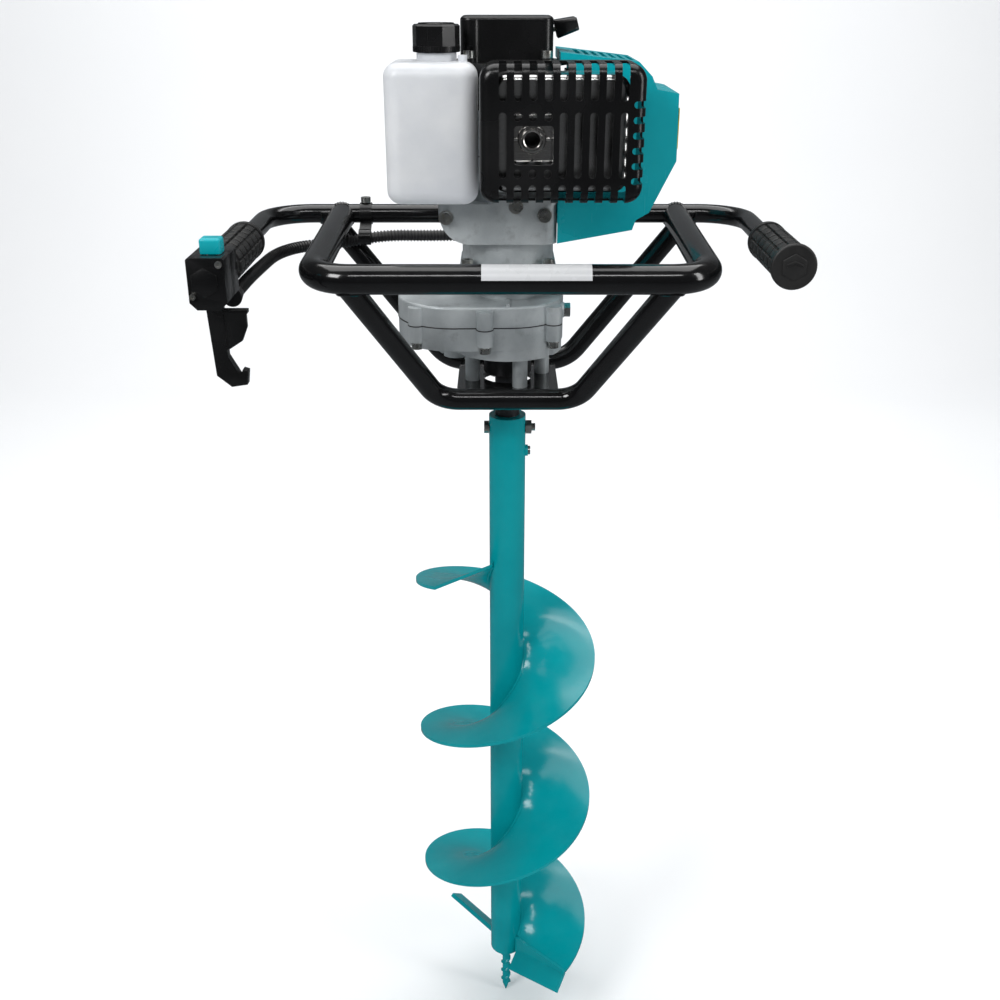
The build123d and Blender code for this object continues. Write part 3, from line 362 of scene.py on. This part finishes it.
def finish(name, deep, pale, gloss, relief, fine=600.0, broad=12.0, metallic=0.0, bare=None,
           edge=(0.0008, 0.0), dust=0.15, scuffs=0.0, **fixed):
    """Base material: colour between deep and pale, roughness over gloss, and a bump of relief metres."""
    material, tree, shader = new_material(name)
    place = object_place(tree)
    grain = use(tree, GRAIN, Place=place, Fine=fine, Broad=broad)
    colour = between(tree, grain.outputs["Patches"], deep, pale)
    rough = spread_out(tree, grain.outputs["Patches"], 0.0, 1.0, gloss[0], gloss[1])
    metal = metallic
    if bare:
        worn = use(tree, WORN, Place=place, Width=edge[0], Amount=edge[1]).outputs["Mask"]
        colour = between(tree, worn, colour, bare)
        rough = sums(tree, "ADD", rough, sums(tree, "MULTIPLY", worn, 0.2))
        if metallic == 0.0 and max(bare) > 0.3:
            metal = sums(tree, "MULTIPLY", worn, 0.8)
    if scuffs:
        lines = use(tree, SCUFFS, Place=place, Amount=scuffs).outputs["Mask"]
        rough = sums(tree, "ADD", rough, sums(tree, "MULTIPLY", lines, 0.35))
    settled = use(tree, DUST, Place=place, Amount=dust).outputs["Mask"]
    colour = between(tree, settled, colour, DUST_COLOUR)
    rough = sums(tree, "ADD", rough, sums(tree, "MULTIPLY", settled, 0.5))
    feed(tree, shader.inputs["Base Color"], colour)
    feed(tree, shader.inputs["Roughness"], rough)
    feed(tree, shader.inputs["Metallic"], metal)
    bump = add(tree, "Bump", Height=grain.outputs["Relief"], Distance=relief, Strength=1.0)
    feed(tree, shader.inputs["Normal"], bump.outputs["Normal"])
    for label, value in fixed.items():
        shader.inputs[label.replace("_", " ")].default_value = value
    return material


def deepen(material, extra, distance):
    """Adds a second, stronger relief under the material's own bump."""
    tree = material.node_tree
    shader = tree.nodes["Principled BSDF"]
    own = shader.inputs["Normal"].links[0].from_node
    second = add(tree, "Bump", Height=extra, Distance=distance, Strength=1.0)
    tree.links.new(second.outputs["Normal"], own.inputs["Normal"])


def repaint(material, mask, colour):
    """Lays one more colour over the material's own where the mask is one."""
    tree = material.node_tree
    socket = tree.nodes["Principled BSDF"].inputs["Base Color"]
    feed(tree, socket, between(tree, mask, socket.links[0].from_socket, colour))


def teal_enamel():
    return finish("teal_enamel", (0.0004, 0.250, 0.285), (0.0006, 0.300, 0.335), (0.12, 0.20), 0.00005,
                  fine=420.0, bare=(0.01, 0.36, 0.40), edge=(0.0006, 0.35), dust=0.015, scuffs=0.25,
                  Specular_IOR_Level=0.35)


def black_enamel():
    return finish("black_enamel", (0.0022, 0.0023, 0.0026), (0.0048, 0.0050, 0.0056), (0.10, 0.20), 0.00005,
                  fine=480.0, bare=(0.06, 0.06, 0.06), edge=(0.0006, 0.3), dust=0.03, scuffs=0.3,
                  Coat_Weight=0.3, Coat_Roughness=0.04)


def as_cast_alloy():
    material = finish("as_cast_alloy", (0.42, 0.46, 0.475), (0.60, 0.64, 0.65), (0.34, 0.52), 0.00022,
                      fine=1300.0, broad=26.0, metallic=0.45, bare=(0.70, 0.72, 0.73), edge=(0.0008, 0.6),
                      dust=0.05)
    tree = material.node_tree
    pits = add(tree, "TexVoronoi", Vector=object_place(tree), Scale=330.0).outputs["Distance"]
    deepen(material, spread_out(tree, pits, 0.05, 0.45), 0.00012)
    stain = spread_out(tree, noise(tree, object_place(tree), 55.0, 6.0, 0.7), 0.56, 0.74, 0.0, 0.45)
    repaint(material, stain, (0.17, 0.18, 0.185))
    return material


def ground_steel():
    material = finish("ground_steel", (0.42, 0.42, 0.43), (0.56, 0.56, 0.56), (0.20, 0.34), 0.00003,
                      fine=1500.0, metallic=1.0, dust=0.03)
    tree = material.node_tree
    turned = noise(tree, stretched(tree, object_place(tree), (60.0, 60.0, 5200.0)), 1.0, 2.0)
    deepen(material, turned, 0.00003)
    return material


def oiled_steel():
    return finish("oiled_steel", (0.035, 0.036, 0.040), (0.085, 0.086, 0.090), (0.26, 0.46), 0.00008,
                  fine=900.0, metallic=0.85, bare=(0.32, 0.32, 0.33), edge=(0.0008, 0.6), dust=0.08)


def zinc_plate():
    material = finish("zinc_plate", (0.50, 0.51, 0.50), (0.68, 0.69, 0.66), (0.20, 0.38), 0.00004,
                      fine=1700.0, broad=60.0, metallic=1.0, bare=(0.82, 0.82, 0.80), edge=(0.0004, 0.6),
                      dust=0.05)
    tree = material.node_tree
    bloom = spread_out(tree, noise(tree, object_place(tree), 160.0, 3.0), 0.5, 0.72, 0.0, 0.4)
    repaint(material, bloom, (0.55, 0.50, 0.36))
    return material


def black_moulding():
    return finish("black_moulding", (0.0030, 0.0031, 0.0034), (0.0065, 0.0066, 0.0071), (0.20, 0.34), 0.00008,
                  fine=1500.0, bare=(0.05, 0.05, 0.05), edge=(0.0006, 0.4), dust=0.02)


def grip_rubber():
    return finish("grip_rubber", (0.0075, 0.0075, 0.0077), (0.0170, 0.0168, 0.0165), (0.34, 0.52), 0.00012,
                  fine=1900.0, broad=30.0, dust=0.05)


def tank_moulding():
    material = finish("tank_moulding", (0.66, 0.68, 0.71), (0.78, 0.795, 0.815), (0.28, 0.42), 0.00010,
                      fine=900.0, broad=16.0, dust=0.05, Subsurface_Weight=0.35,
                      Subsurface_Radius=(0.012, 0.012, 0.013), Subsurface_Scale=0.5)
    tree = material.node_tree
    # Painted shade: up to 30 per cent bluish-grey over the tank's lower part, fading out between 1.030 and
    # 1.052 m up.
    height = add(tree, "SeparateXYZ", Vector=object_place(tree)).outputs["Z"]
    painted_low_shade = spread_out(tree, height, 1.030, 1.052, 0.30, 0.0)
    repaint(material, painted_low_shade, (0.56, 0.60, 0.66))
    return material


def teal_moulding():
    return finish("teal_moulding", (0.0006, 0.350, 0.410), (0.0010, 0.420, 0.480), (0.20, 0.32), 0.00009,
                  fine=1300.0, bare=(0.05, 0.50, 0.55), edge=(0.0006, 0.4), dust=0.02, scuffs=0.2)


def hot_sheet_steel():
    material = finish("hot_sheet_steel", (0.66, 0.66, 0.655), (0.80, 0.80, 0.795), (0.12, 0.26), 0.00003,
                      fine=1200.0, broad=30.0, metallic=1.0, bare=(0.80, 0.80, 0.80), edge=(0.0008, 0.5),
                      dust=0.04)
    tree = material.node_tree
    drawn = noise(tree, stretched(tree, object_place(tree), (30.0, 30.0, 2600.0)), 1.0, 3.0)
    deepen(material, drawn, 0.00005)
    away = add(tree, "VectorMath", {"operation": "DISTANCE"})
    feed(tree, away.inputs[0], object_place(tree))
    feed(tree, away.inputs[1], (OUTLET_X, -0.116, OUTLET_Z))
    heat = spread_out(tree, away.outputs["Value"], 0.026, 0.010, 0.0, 0.35)
    repaint(material, heat, (0.40, 0.36, 0.30))
    return material


def vinyl(name, deep, pale):
    return finish(name, deep, pale, (0.22, 0.34), 0.00002, fine=900.0, dust=0.05, scuffs=0.3)


def hose_rubber():
    return finish("hose_rubber", (0.0090, 0.0090, 0.0100), (0.0190, 0.0190, 0.0200), (0.30, 0.46), 0.00006,
                  fine=1500.0, dust=0.10)


def braided_rope():
    material = finish("braided_rope", (0.52, 0.50, 0.45), (0.72, 0.70, 0.64), (0.70, 0.85), 0.00008,
                      fine=3000.0, broad=500.0, dust=0.0)
    tree = material.node_tree
    over = add(tree, "TexWave", {"bands_direction": "DIAGONAL"}, Vector=object_place(tree), Scale=260.0,
               Distortion=0.6).outputs["Fac"]
    deepen(material, over, 0.0004)
    return material


def coil_epoxy():
    return finish("coil_epoxy", (0.020, 0.016, 0.016), (0.050, 0.040, 0.038), (0.30, 0.55), 0.00012,
                  fine=700.0, dust=0.08)


def bulb_rubber():
    return finish("bulb_rubber", (0.36, 0.055, 0.040), (0.48, 0.085, 0.055), (0.16, 0.28), 0.00003,
                  fine=900.0, dust=0.04, Transmission_Weight=0.35, IOR=1.45)


finishes = {
    "teal_paint": teal_enamel(), "black_paint": black_enamel(), "cast_alloy": as_cast_alloy(),
    "machined_steel": ground_steel(), "dark_steel": oiled_steel(), "zinc_screws": zinc_plate(),
    "black_plastic": black_moulding(), "rubber_grip": grip_rubber(), "tank_plastic": tank_moulding(),
    "teal_plastic": teal_moulding(), "muffler_steel": hot_sheet_steel(),
    "label_white": vinyl("white_vinyl", (0.52, 0.53, 0.54), (0.62, 0.63, 0.64)),
    "label_yellow": vinyl("yellow_vinyl", (0.74, 0.52, 0.02), (0.84, 0.62, 0.03)),
    "black_hose": hose_rubber(), "rope_fibre": braided_rope(), "coil_epoxy": coil_epoxy(),
    "amber_rubber": bulb_rubber(),
}


def dress_frame():
    """Puts each CAD node's finish in its material slots."""
    for subpart in frame["record"]["subparts"]:
        node = cad[subpart["node"]]
        if not node.data.materials:
            node.data.materials.append(None)
        for place in node.material_slots:
            place.material = finishes[subpart["material_slot"]]



# ---- making pieces ----
def copy_of(piece, turn=0.0, along=(0.0, 0.0, 0.0), about=(0.0, 0.0, 0.0), axis="Z"):
    """Copy of a piece with its own mesh, turned about a point and then moved."""
    twin = piece.copy()
    twin.data = piece.data.copy()
    bpy.context.scene.collection.objects.link(twin)
    pivot = Matrix.Translation(Vector(about))
    spun = pivot @ Matrix.Rotation(turn, 4, axis) @ pivot.inverted()
    twin.matrix_world = Matrix.Translation(Vector(along)) @ spun @ piece.matrix_world
    return twin


def rounded_block(place, size, radius, segments=2):
    deselect()
    bpy.ops.mesh.primitive_cube_add(size=1.0, location=place, scale=size)
    block = bpy.context.object
    bpy.ops.object.transform_apply(location=False, rotation=False, scale=True)
    apply_modifier(block, "BEVEL", width=radius, segments=segments, limit_method="NONE")
    return block


def roll_rims(piece, width, segments):
    apply_modifier(piece, "BEVEL", width=width, segments=segments, limit_method="ANGLE",
                   angle_limit=radians(50))


def rounded_disc(place, radius, depth, round_over, sides=48):
    """Short cylinder along Y with softened rims."""
    deselect()
    bpy.ops.mesh.primitive_cylinder_add(vertices=sides, radius=radius, depth=depth, location=place,
                                        rotation=FACING_Y)
    disc = bpy.context.object
    roll_rims(disc, round_over, 3)
    return disc


def sleeve_round(x, front, back, radius):
    """Open tube along Y that fits over an arm of the frame."""
    deselect()
    bpy.ops.mesh.primitive_cylinder_add(vertices=64, radius=radius, depth=back - front,
                                        end_fill_type="NOTHING", rotation=FACING_Y,
                                        location=(x, (front + back) / 2, GRIP_Z))
    sleeve = bpy.context.object
    apply_modifier(sleeve, "SOLIDIFY", thickness=radius - GRIP_BORE, offset=-1.0)
    roll_rims(sleeve, 0.0006, 2)
    return sleeve


def hand_grip(name, node, x, front, back, end_parts):
    """Rubber sleeve with rows of raised blocks all round and a collar at its inner end."""
    around, rows = 12, 6
    step = (back - front - 0.012) / rows
    sleeve = sleeve_round(x, front, back, GRIP_R)
    first = front + 0.004 + step / 2
    block = rounded_block((x, first, GRIP_Z + 0.0161), (0.0072, step - 0.0024, 0.0034), 0.0009)
    blocks = [copy_of(block, tau * turn / around, (0.0, step * row, 0.0), (x, first, GRIP_Z), "Y")
              for row in range(rows) for turn in range(around)]
    bpy.data.objects.remove(block)
    collar = sleeve_round(x, back - 0.0055, back, 0.0184)
    piece = settle(join(sleeve, [*blocks, collar, *end_parts]), name, "rubber_grip", "power_head")
    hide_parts(node)


def grip_end(x, y):
    """Closed end of the right grip: a disc with a shallow hexagon and a chevron on it."""
    disc = rounded_disc((x, y + 0.0038, GRIP_Z), 0.0200, 0.006, 0.0018)
    boss = rounded_disc((x, y + 0.0006, GRIP_Z), 0.0118, 0.0016, 0.0006, sides=6)
    bars = []
    for side in (-1, 1):
        bar = rounded_block((x + side * 0.0034, y, GRIP_Z + 0.0030), (0.0084, 0.0020, 0.0022), 0.0005)
        bars.append(copy_of(bar, side * radians(24), about=bar.location, axis="Y"))
        bpy.data.objects.remove(bar)
    return [disc, boss, *bars]


def make_grips():
    hand_grip("right_hand_sleeve", "right_grip", RIGHT_ARM, -0.147, -0.040, grip_end(RIGHT_ARM, -0.152))
    hand_grip("left_hand_sleeve", "left_grip", LEFT_ARM, -0.150, -0.040, [])


RIDGE_PITCH = 0.0034      # wanted length of one ridge, adjusted so that a whole number fits
LOOM_ROUTE = [
    (-0.238, -0.1519, 0.961), (-0.238, -0.090, 0.961), (-0.237, -0.028, 0.959), (-0.232, 0.030, 0.960),
    (-0.210, 0.062, 0.961), (-0.174, 0.072, 0.961), (-0.128, 0.072, 0.970), (-0.076, 0.073, 0.969),
    (-0.024, 0.072, 0.971), (0.018, 0.073, 0.983), (0.050, 0.075, 0.996), (0.072, 0.077, 1.012),
    (0.072, 0.077, 1.0359)]


def smooth_line(name, route):
    curve = bpy.data.curves.new(name, "CURVE")
    curve.dimensions = "3D"
    curve.resolution_u = 24
    spline = curve.splines.new("NURBS")
    spline.points.add(len(route) - 1)
    for point, place in zip(spline.points, route):
        point.co = (*place, 1.0)
    spline.order_u = 3
    spline.use_endpoint_u = True
    line = bpy.data.objects.new(name, curve)
    bpy.context.scene.collection.objects.link(line)
    return line


def followed_points(line):
    bpy.context.view_layer.update()
    mesh = bpy.data.meshes.new_from_object(line.evaluated_get(bpy.context.evaluated_depsgraph_get()))
    return [vertex.co.copy() for vertex in mesh.vertices]


def make_loom():
    """Corrugated loom over the throttle cable: one ridge, repeated along the route."""
    line = smooth_line("loom_line", LOOM_ROUTE)
    path = followed_points(line)
    length = sum((b - a).length for a, b in zip(path, path[1:]))
    pitch = length / round(length / RIDGE_PITCH)
    deselect()
    bpy.ops.mesh.primitive_circle_add(vertices=20, radius=0.0049, location=FLAT, rotation=(0.0, pi / 2, 0.0))
    ridge = bpy.context.object
    bpy.ops.object.transform_apply(location=True, rotation=True, scale=True)
    bpy.ops.object.mode_set(mode="EDIT")
    bpy.ops.mesh.select_all(action="SELECT")
    for share, swell in ((0.22, 1.0), (0.13, 1.22), (0.30, 1.0), (0.13, 1.0 / 1.22), (0.22, 1.0)):
        bpy.ops.mesh.extrude_region_move(TRANSFORM_OT_translate={"value": (pitch * share, 0.0, 0.0)})
        bpy.ops.transform.resize(value=(1.0, swell, swell))
    bpy.ops.object.mode_set(mode="OBJECT")
    apply_modifier(ridge, "ARRAY", fit_type="FIXED_COUNT", count=round(length / pitch),
                   use_merge_vertices=True, merge_threshold=0.0001)
    apply_modifier(ridge, "CURVE", object=line, deform_axis="POS_X")
    bpy.data.objects.remove(line)
    close_ends(ridge)
    loom = settle(ridge, "corrugated_loom", "black_hose", "power_head")
    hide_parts("throttle_cable")
    return path


def close_ends(piece):
    open_mesh(piece)
    bpy.ops.mesh.fill_holes(sides=24)
    bpy.ops.object.mode_set(mode="OBJECT")


def bead(name, points, radius, slot, body, closed=True, ripple=0.0):
    """Rounded line through points; ripple narrows every other point, as weld beads are."""
    curve = bpy.data.curves.new(name, "CURVE")
    curve.dimensions = "3D"
    curve.bevel_depth = radius
    curve.bevel_resolution = 2
    curve.use_fill_caps = True
    spline = curve.splines.new("POLY")
    spline.points.add(len(points) - 1)
    for index, (point, place) in enumerate(zip(spline.points, points)):
        point.co = (*place, 1.0)
        point.radius = 1.0 - ripple * (index % 2)
    spline.use_cyclic_u = closed
    line = bpy.data.objects.new(name, curve)
    bpy.context.scene.collection.objects.link(line)
    return settle(line, name, slot, body)


def saddle(start, end, radius, host_point, host_radius, steps=56):
    """Loop where a round tube from start towards end meets a host tube that runs along X."""
    start, end = Vector(start), Vector(end)
    along = (end - start).normalized()
    side = along.cross(Vector((1.0, 0.0, 0.0))).normalized()
    other = along.cross(side)
    points = []
    for step in range(steps):
        turn = tau * step / steps
        edge = start + radius * (cos(turn) * side + sin(turn) * other)
        gap_y, gap_z = edge.y - host_point[0], edge.z - host_point[1]
        square = along.y ** 2 + along.z ** 2
        middle = along.y * gap_y + along.z * gap_z
        rest = middle ** 2 - square * (gap_y ** 2 + gap_z ** 2 - host_radius ** 2)
        points.append(edge + along * (-middle - sqrt(max(rest, 0.0))) / square)
    return points


def make_frame_welds():
    """Beads where the cradles meet the bars, round the hoop's ends, and along the plate."""
    ends = {"front_left": ((-0.067, -0.060, 0.837), (-0.143, -0.150, 0.976), HOOP, HOOP_R),
            "front_right": ((0.067, -0.060, 0.837), (0.146, -0.150, 0.976), HOOP, HOOP_R),
            "rear_left": ((-0.062, 0.060, 0.840), (-0.187, 0.095, 0.987), HANDLE, HANDLE_R),
            "rear_right": ((0.062, 0.060, 0.840), (0.189, 0.095, 0.987), HANDLE, HANDLE_R)}
    for place, (start, end, host, host_radius) in ends.items():
        loop = saddle(start, end, CRADLE_WELD_R, host, host_radius)
        bead(f"weld_{place}", loop, 0.0017, "black_paint", "power_head", ripple=0.22)
    for place, x in (("left", -0.172), ("right", 0.175)):
        ring = [(x + 0.0122 * cos(tau * i / 60), 0.0935, 0.986 + 0.0122 * sin(tau * i / 60))
                for i in range(60)]
        bead(f"weld_hoop_{place}", ring, 0.0022, "black_paint", "power_head", ripple=0.2)
    for place, y, z in (("front", -0.0496, 0.8430), ("rear", 0.0496, 0.8435)):
        run = [(-0.045 + 0.0022 * i, y, z) for i in range(42)]
        bead(f"weld_plate_{place}", run, 0.0018, "black_paint", "power_head", closed=False, ripple=0.25)


def make_flight_weld(name, offset):
    """Fillet of weld that climbs the tube along one face of the flight."""
    low = FLIGHT_Z + FLIGHT_PITCH * FLIGHT_START / tau + offset
    out_x, out_y = FLIGHT_WELD_R * cos(FLIGHT_START), FLIGHT_WELD_R * sin(FLIGHT_START)
    deselect()
    bpy.ops.mesh.primitive_circle_add(vertices=8, radius=0.0020, rotation=(pi / 2, 0.0, FLIGHT_START),
                                      location=(out_x, out_y, low))
    piece = bpy.context.object
    bpy.ops.object.transform_apply(location=True, rotation=True, scale=True)
    apply_modifier(piece, "SCREW", angle=FLIGHT_TURN, screw_offset=FLIGHT_PITCH * FLIGHT_TURN / tau,
                   steps=240, render_steps=240, use_merge_vertices=False)
    close_ends(piece)
    settle(piece, name, "teal_paint", "auger_bit")


def loose_copy(node):
    """A plain object with a copy of a CAD node's mesh, free of the frame."""
    twin = bpy.data.objects.new(node + "_copy", cad[node].data.copy())
    bpy.context.scene.collection.objects.link(twin)
    return twin


def cut_line(name, node, at, across, radius, slot, body, wanted):
    """Thin line on a node's outside where a flat cut meets it, kept where wanted says so."""
    twin = loose_copy(node)
    open_mesh(twin)
    bpy.ops.mesh.remove_doubles(threshold=0.00002)
    bpy.ops.mesh.select_all(action="SELECT")
    bpy.ops.mesh.bisect(plane_co=at, plane_no=across, clear_inner=True, clear_outer=True)
    select_edges(twin, lambda a, b: not wanted((a + b) / 2))
    bpy.ops.mesh.delete(type="EDGE")
    bpy.ops.mesh.select_all(action="SELECT")
    bpy.ops.mesh.remove_doubles(threshold=0.0003)
    bpy.ops.object.mode_set(mode="OBJECT")
    bpy.ops.object.convert(target="CURVE")
    line = bpy.context.object
    line.data.bevel_depth = radius
    line.data.bevel_resolution = 1
    line.data.use_fill_caps = True
    return settle(line, name, slot, body)


def make_seams():
    """Mould line of the tank and the dark gasket lines of the gearbox and the crankcase."""
    tank_low, tank_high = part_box("fuel_tank")
    middle = (tank_low + tank_high) / 2
    half = (tank_high - tank_low) / 2
    cut_line("tank_mould_line", "fuel_tank", (0.0, middle.y, 0.0), (0.0, 1.0, 0.0), 0.00045, "tank_plastic",
             "power_head", lambda p: abs(p.x - middle.x) > half.x - 0.0013 or p.z < 1.0283
             or (p.z > 1.1447 and p.z < 1.1475))
    cut_line("gearbox_gasket", "gearbox_upper_case", (0.0, 0.0, GEARBOX_SPLIT), (0.0, 0.0, 1.0), 0.0006,
             "black_hose", "power_head", lambda p: round_gap(p) > -0.0030)
    cut_line("crankcase_gasket", "crankcase_upper", (0.0, 0.0, CRANKCASE_SPLIT), (0.0, 0.0, 1.0), 0.0006,
             "black_hose", "power_head", lambda p: sqrt(p.x ** 2 + p.y ** 2) > 0.0425 and p.x < 0.0448)


def round_gap(p):
    """How far a point lies outside the gearbox's two round bodies, seen from above."""
    return max(sqrt(p.x ** 2 + p.y ** 2) - 0.055, sqrt((p.x + 0.0519) ** 2 + p.y ** 2) - 0.0565,
               abs(p.y) - 0.0585 if -0.06 < p.x < 0.0 else -1.0)


def bore_out(piece, place, radius):
    """Cuts a round hole along Y through a piece."""
    deselect()
    bpy.ops.mesh.primitive_cylinder_add(vertices=48, radius=radius, depth=0.03, location=place,
                                        rotation=FACING_Y)
    cutter = bpy.context.object
    apply_modifier(piece, "BOOLEAN", object=cutter, operation="DIFFERENCE", solver="EXACT")
    bpy.data.objects.remove(cutter)


def make_outlet_plate():
    """Pressed ribs on the muffler's outlet plate and a rolled lip round the pipe."""
    x, y, z = OUTLET_X, -0.1162, OUTLET_Z
    parts = []
    for side in (-1, 1):
        parts.append(rounded_block((x + side * 0.0150, y, z), (0.0074, 0.0050, 0.0026), 0.0009))
        parts.append(rounded_block((x, y, z + side * 0.0150), (0.0026, 0.0050, 0.0074), 0.0009))
        parts.append(rounded_block((x + side * 0.0186, y, z), (0.0022, 0.0050, 0.0392), 0.0009))
        parts.append(rounded_block((x, y, z + side * 0.0186), (0.0392, 0.0050, 0.0022), 0.0009))
    flange = rounded_disc((x, -0.1175, z), 0.0122, 0.0042, 0.0014)
    bore_out(flange, (x, -0.118, z), 0.0090)
    parts.append(flange)
    deselect()
    bpy.ops.mesh.primitive_torus_add(location=(x, -0.1240, z), rotation=FACING_Y, major_segments=40,
                                     minor_segments=10, major_radius=0.0078, minor_radius=0.0013)
    lip = bpy.context.object
    settle(join(lip, parts), "outlet_ribs", "muffler_steel", "power_head")


def make_cap_grip():
    """Fine ribs round the fuel cap's skirt and a raised ring on its top."""
    deselect()
    bpy.ops.mesh.primitive_cylinder_add(vertices=CAP_RIBS, radius=0.02015, depth=0.0044,
                                        location=(*CAP_CENTRE, 1.1556))
    skirt = bpy.context.object
    bpy.ops.object.transform_apply(location=True, rotation=True, scale=True)

    def every_other(face):
        out = face.center - Vector((*CAP_CENTRE, face.center.z))
        turn = round((atan2(out.y, out.x) % tau) / tau * CAP_RIBS - 0.5)
        return abs(face.normal.z) < 0.5 and turn % 2 == 0

    edit_faces(skirt, every_other)
    bpy.ops.mesh.extrude_region_shrink_fatten(TRANSFORM_OT_shrink_fatten={"value": 0.0006})
    bpy.ops.object.mode_set(mode="OBJECT")
    deselect()
    bpy.ops.mesh.primitive_torus_add(location=(*CAP_CENTRE, 1.1757), major_segments=64, minor_segments=8,
                                     major_radius=0.0150, minor_radius=0.0009)
    ring = bpy.context.object
    settle(join(ring, [skirt]), "cap_grip_ribs", "black_plastic", "fuel_cap")


def soften(node, name, slot, body, radius):
    """Stands for a CAD node with the same shape, its sharp edges rolled over as a mould leaves them."""
    twin = loose_copy(node)
    open_mesh(twin)
    bpy.ops.mesh.remove_doubles(threshold=0.00002)
    bpy.ops.mesh.select_all(action="SELECT")
    bpy.ops.mesh.dissolve_limited(angle_limit=radians(1.0))
    bpy.ops.object.mode_set(mode="OBJECT")
    apply_modifier(twin, "BEVEL", width=radius, segments=2, limit_method="ANGLE",
                   angle_limit=radians(40), use_clamp_overlap=True)
    piece = settle(twin, name, slot, body)
    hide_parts(node)


def soften_mouldings():
    soften("throttle_lever", "finger_lever", "black_plastic", "throttle_lever", 0.0012)
    soften("throttle_housing_front", "control_front_half", "black_plastic", "power_head", 0.0007)
    soften("throttle_housing_rear", "control_rear_half", "black_plastic", "power_head", 0.0007)
    soften("starter_handle", "pull_handle", "black_plastic", "starter_handle", 0.0009)
    soften("stop_switch", "stop_slider", "teal_plastic", "stop_switch", 0.0005)


def washer(place, turn):
    deselect()
    bpy.ops.mesh.primitive_cylinder_add(vertices=36, radius=0.0068, depth=0.0012, location=place,
                                        rotation=turn)
    disc = bpy.context.object
    roll_rims(disc, 0.0003, 2)
    return disc


def make_washers():
    """Flat washers under the heads of the case, flange and gearbox bolts."""
    case_bolts = ((-0.0575, 1.010), (0.007, 1.020), (0.0335, 1.012))
    parts = [washer((x, -0.0507, z), FACING_Y) for x, z in case_bolts]
    parts += [washer((x, y, 0.9617), FLAT) for x in (-0.0385, 0.0385) for y in (-0.0385, 0.0385)]
    for x, reach in ((-0.022, 0.059), (0.044, 0.038), (-0.088, 0.042)):
        parts += [washer((x, y, 0.8892), FLAT) for y in (-reach, reach)]
    settle(join(parts[0], parts[1:]), "flat_washers", "zinc_screws", "power_head")


def make_loom_ends(path):
    """Rubber boots where the loom leaves the control and enters the carburettor."""
    parts = []
    for place, towards in ((path[0], path[12]), (path[-1], path[-12])):
        run = (towards - place).normalized()
        deselect()
        bpy.ops.mesh.primitive_cone_add(vertices=32, radius1=0.0088, radius2=0.0066, depth=0.018,
                                        location=place + run * 0.0092,
                                        rotation=run.to_track_quat("Z", "Y").to_euler())
        boot = bpy.context.object
        roll_rims(boot, 0.0008, 3)
        parts.append(boot)
    settle(join(parts[0], parts[1:]), "loom_boots", "black_hose", "power_head")


set_camera()
make_loom_ends(make_loom())
lay_floor()
set_lights()
dress_frame()
make_grips()
make_frame_welds()
make_flight_weld("flight_weld_upper", 0.0025)
make_flight_weld("flight_weld_lower", -0.0025)
make_seams()
make_outlet_plate()
make_cap_grip()
make_washers()
soften_mouldings()
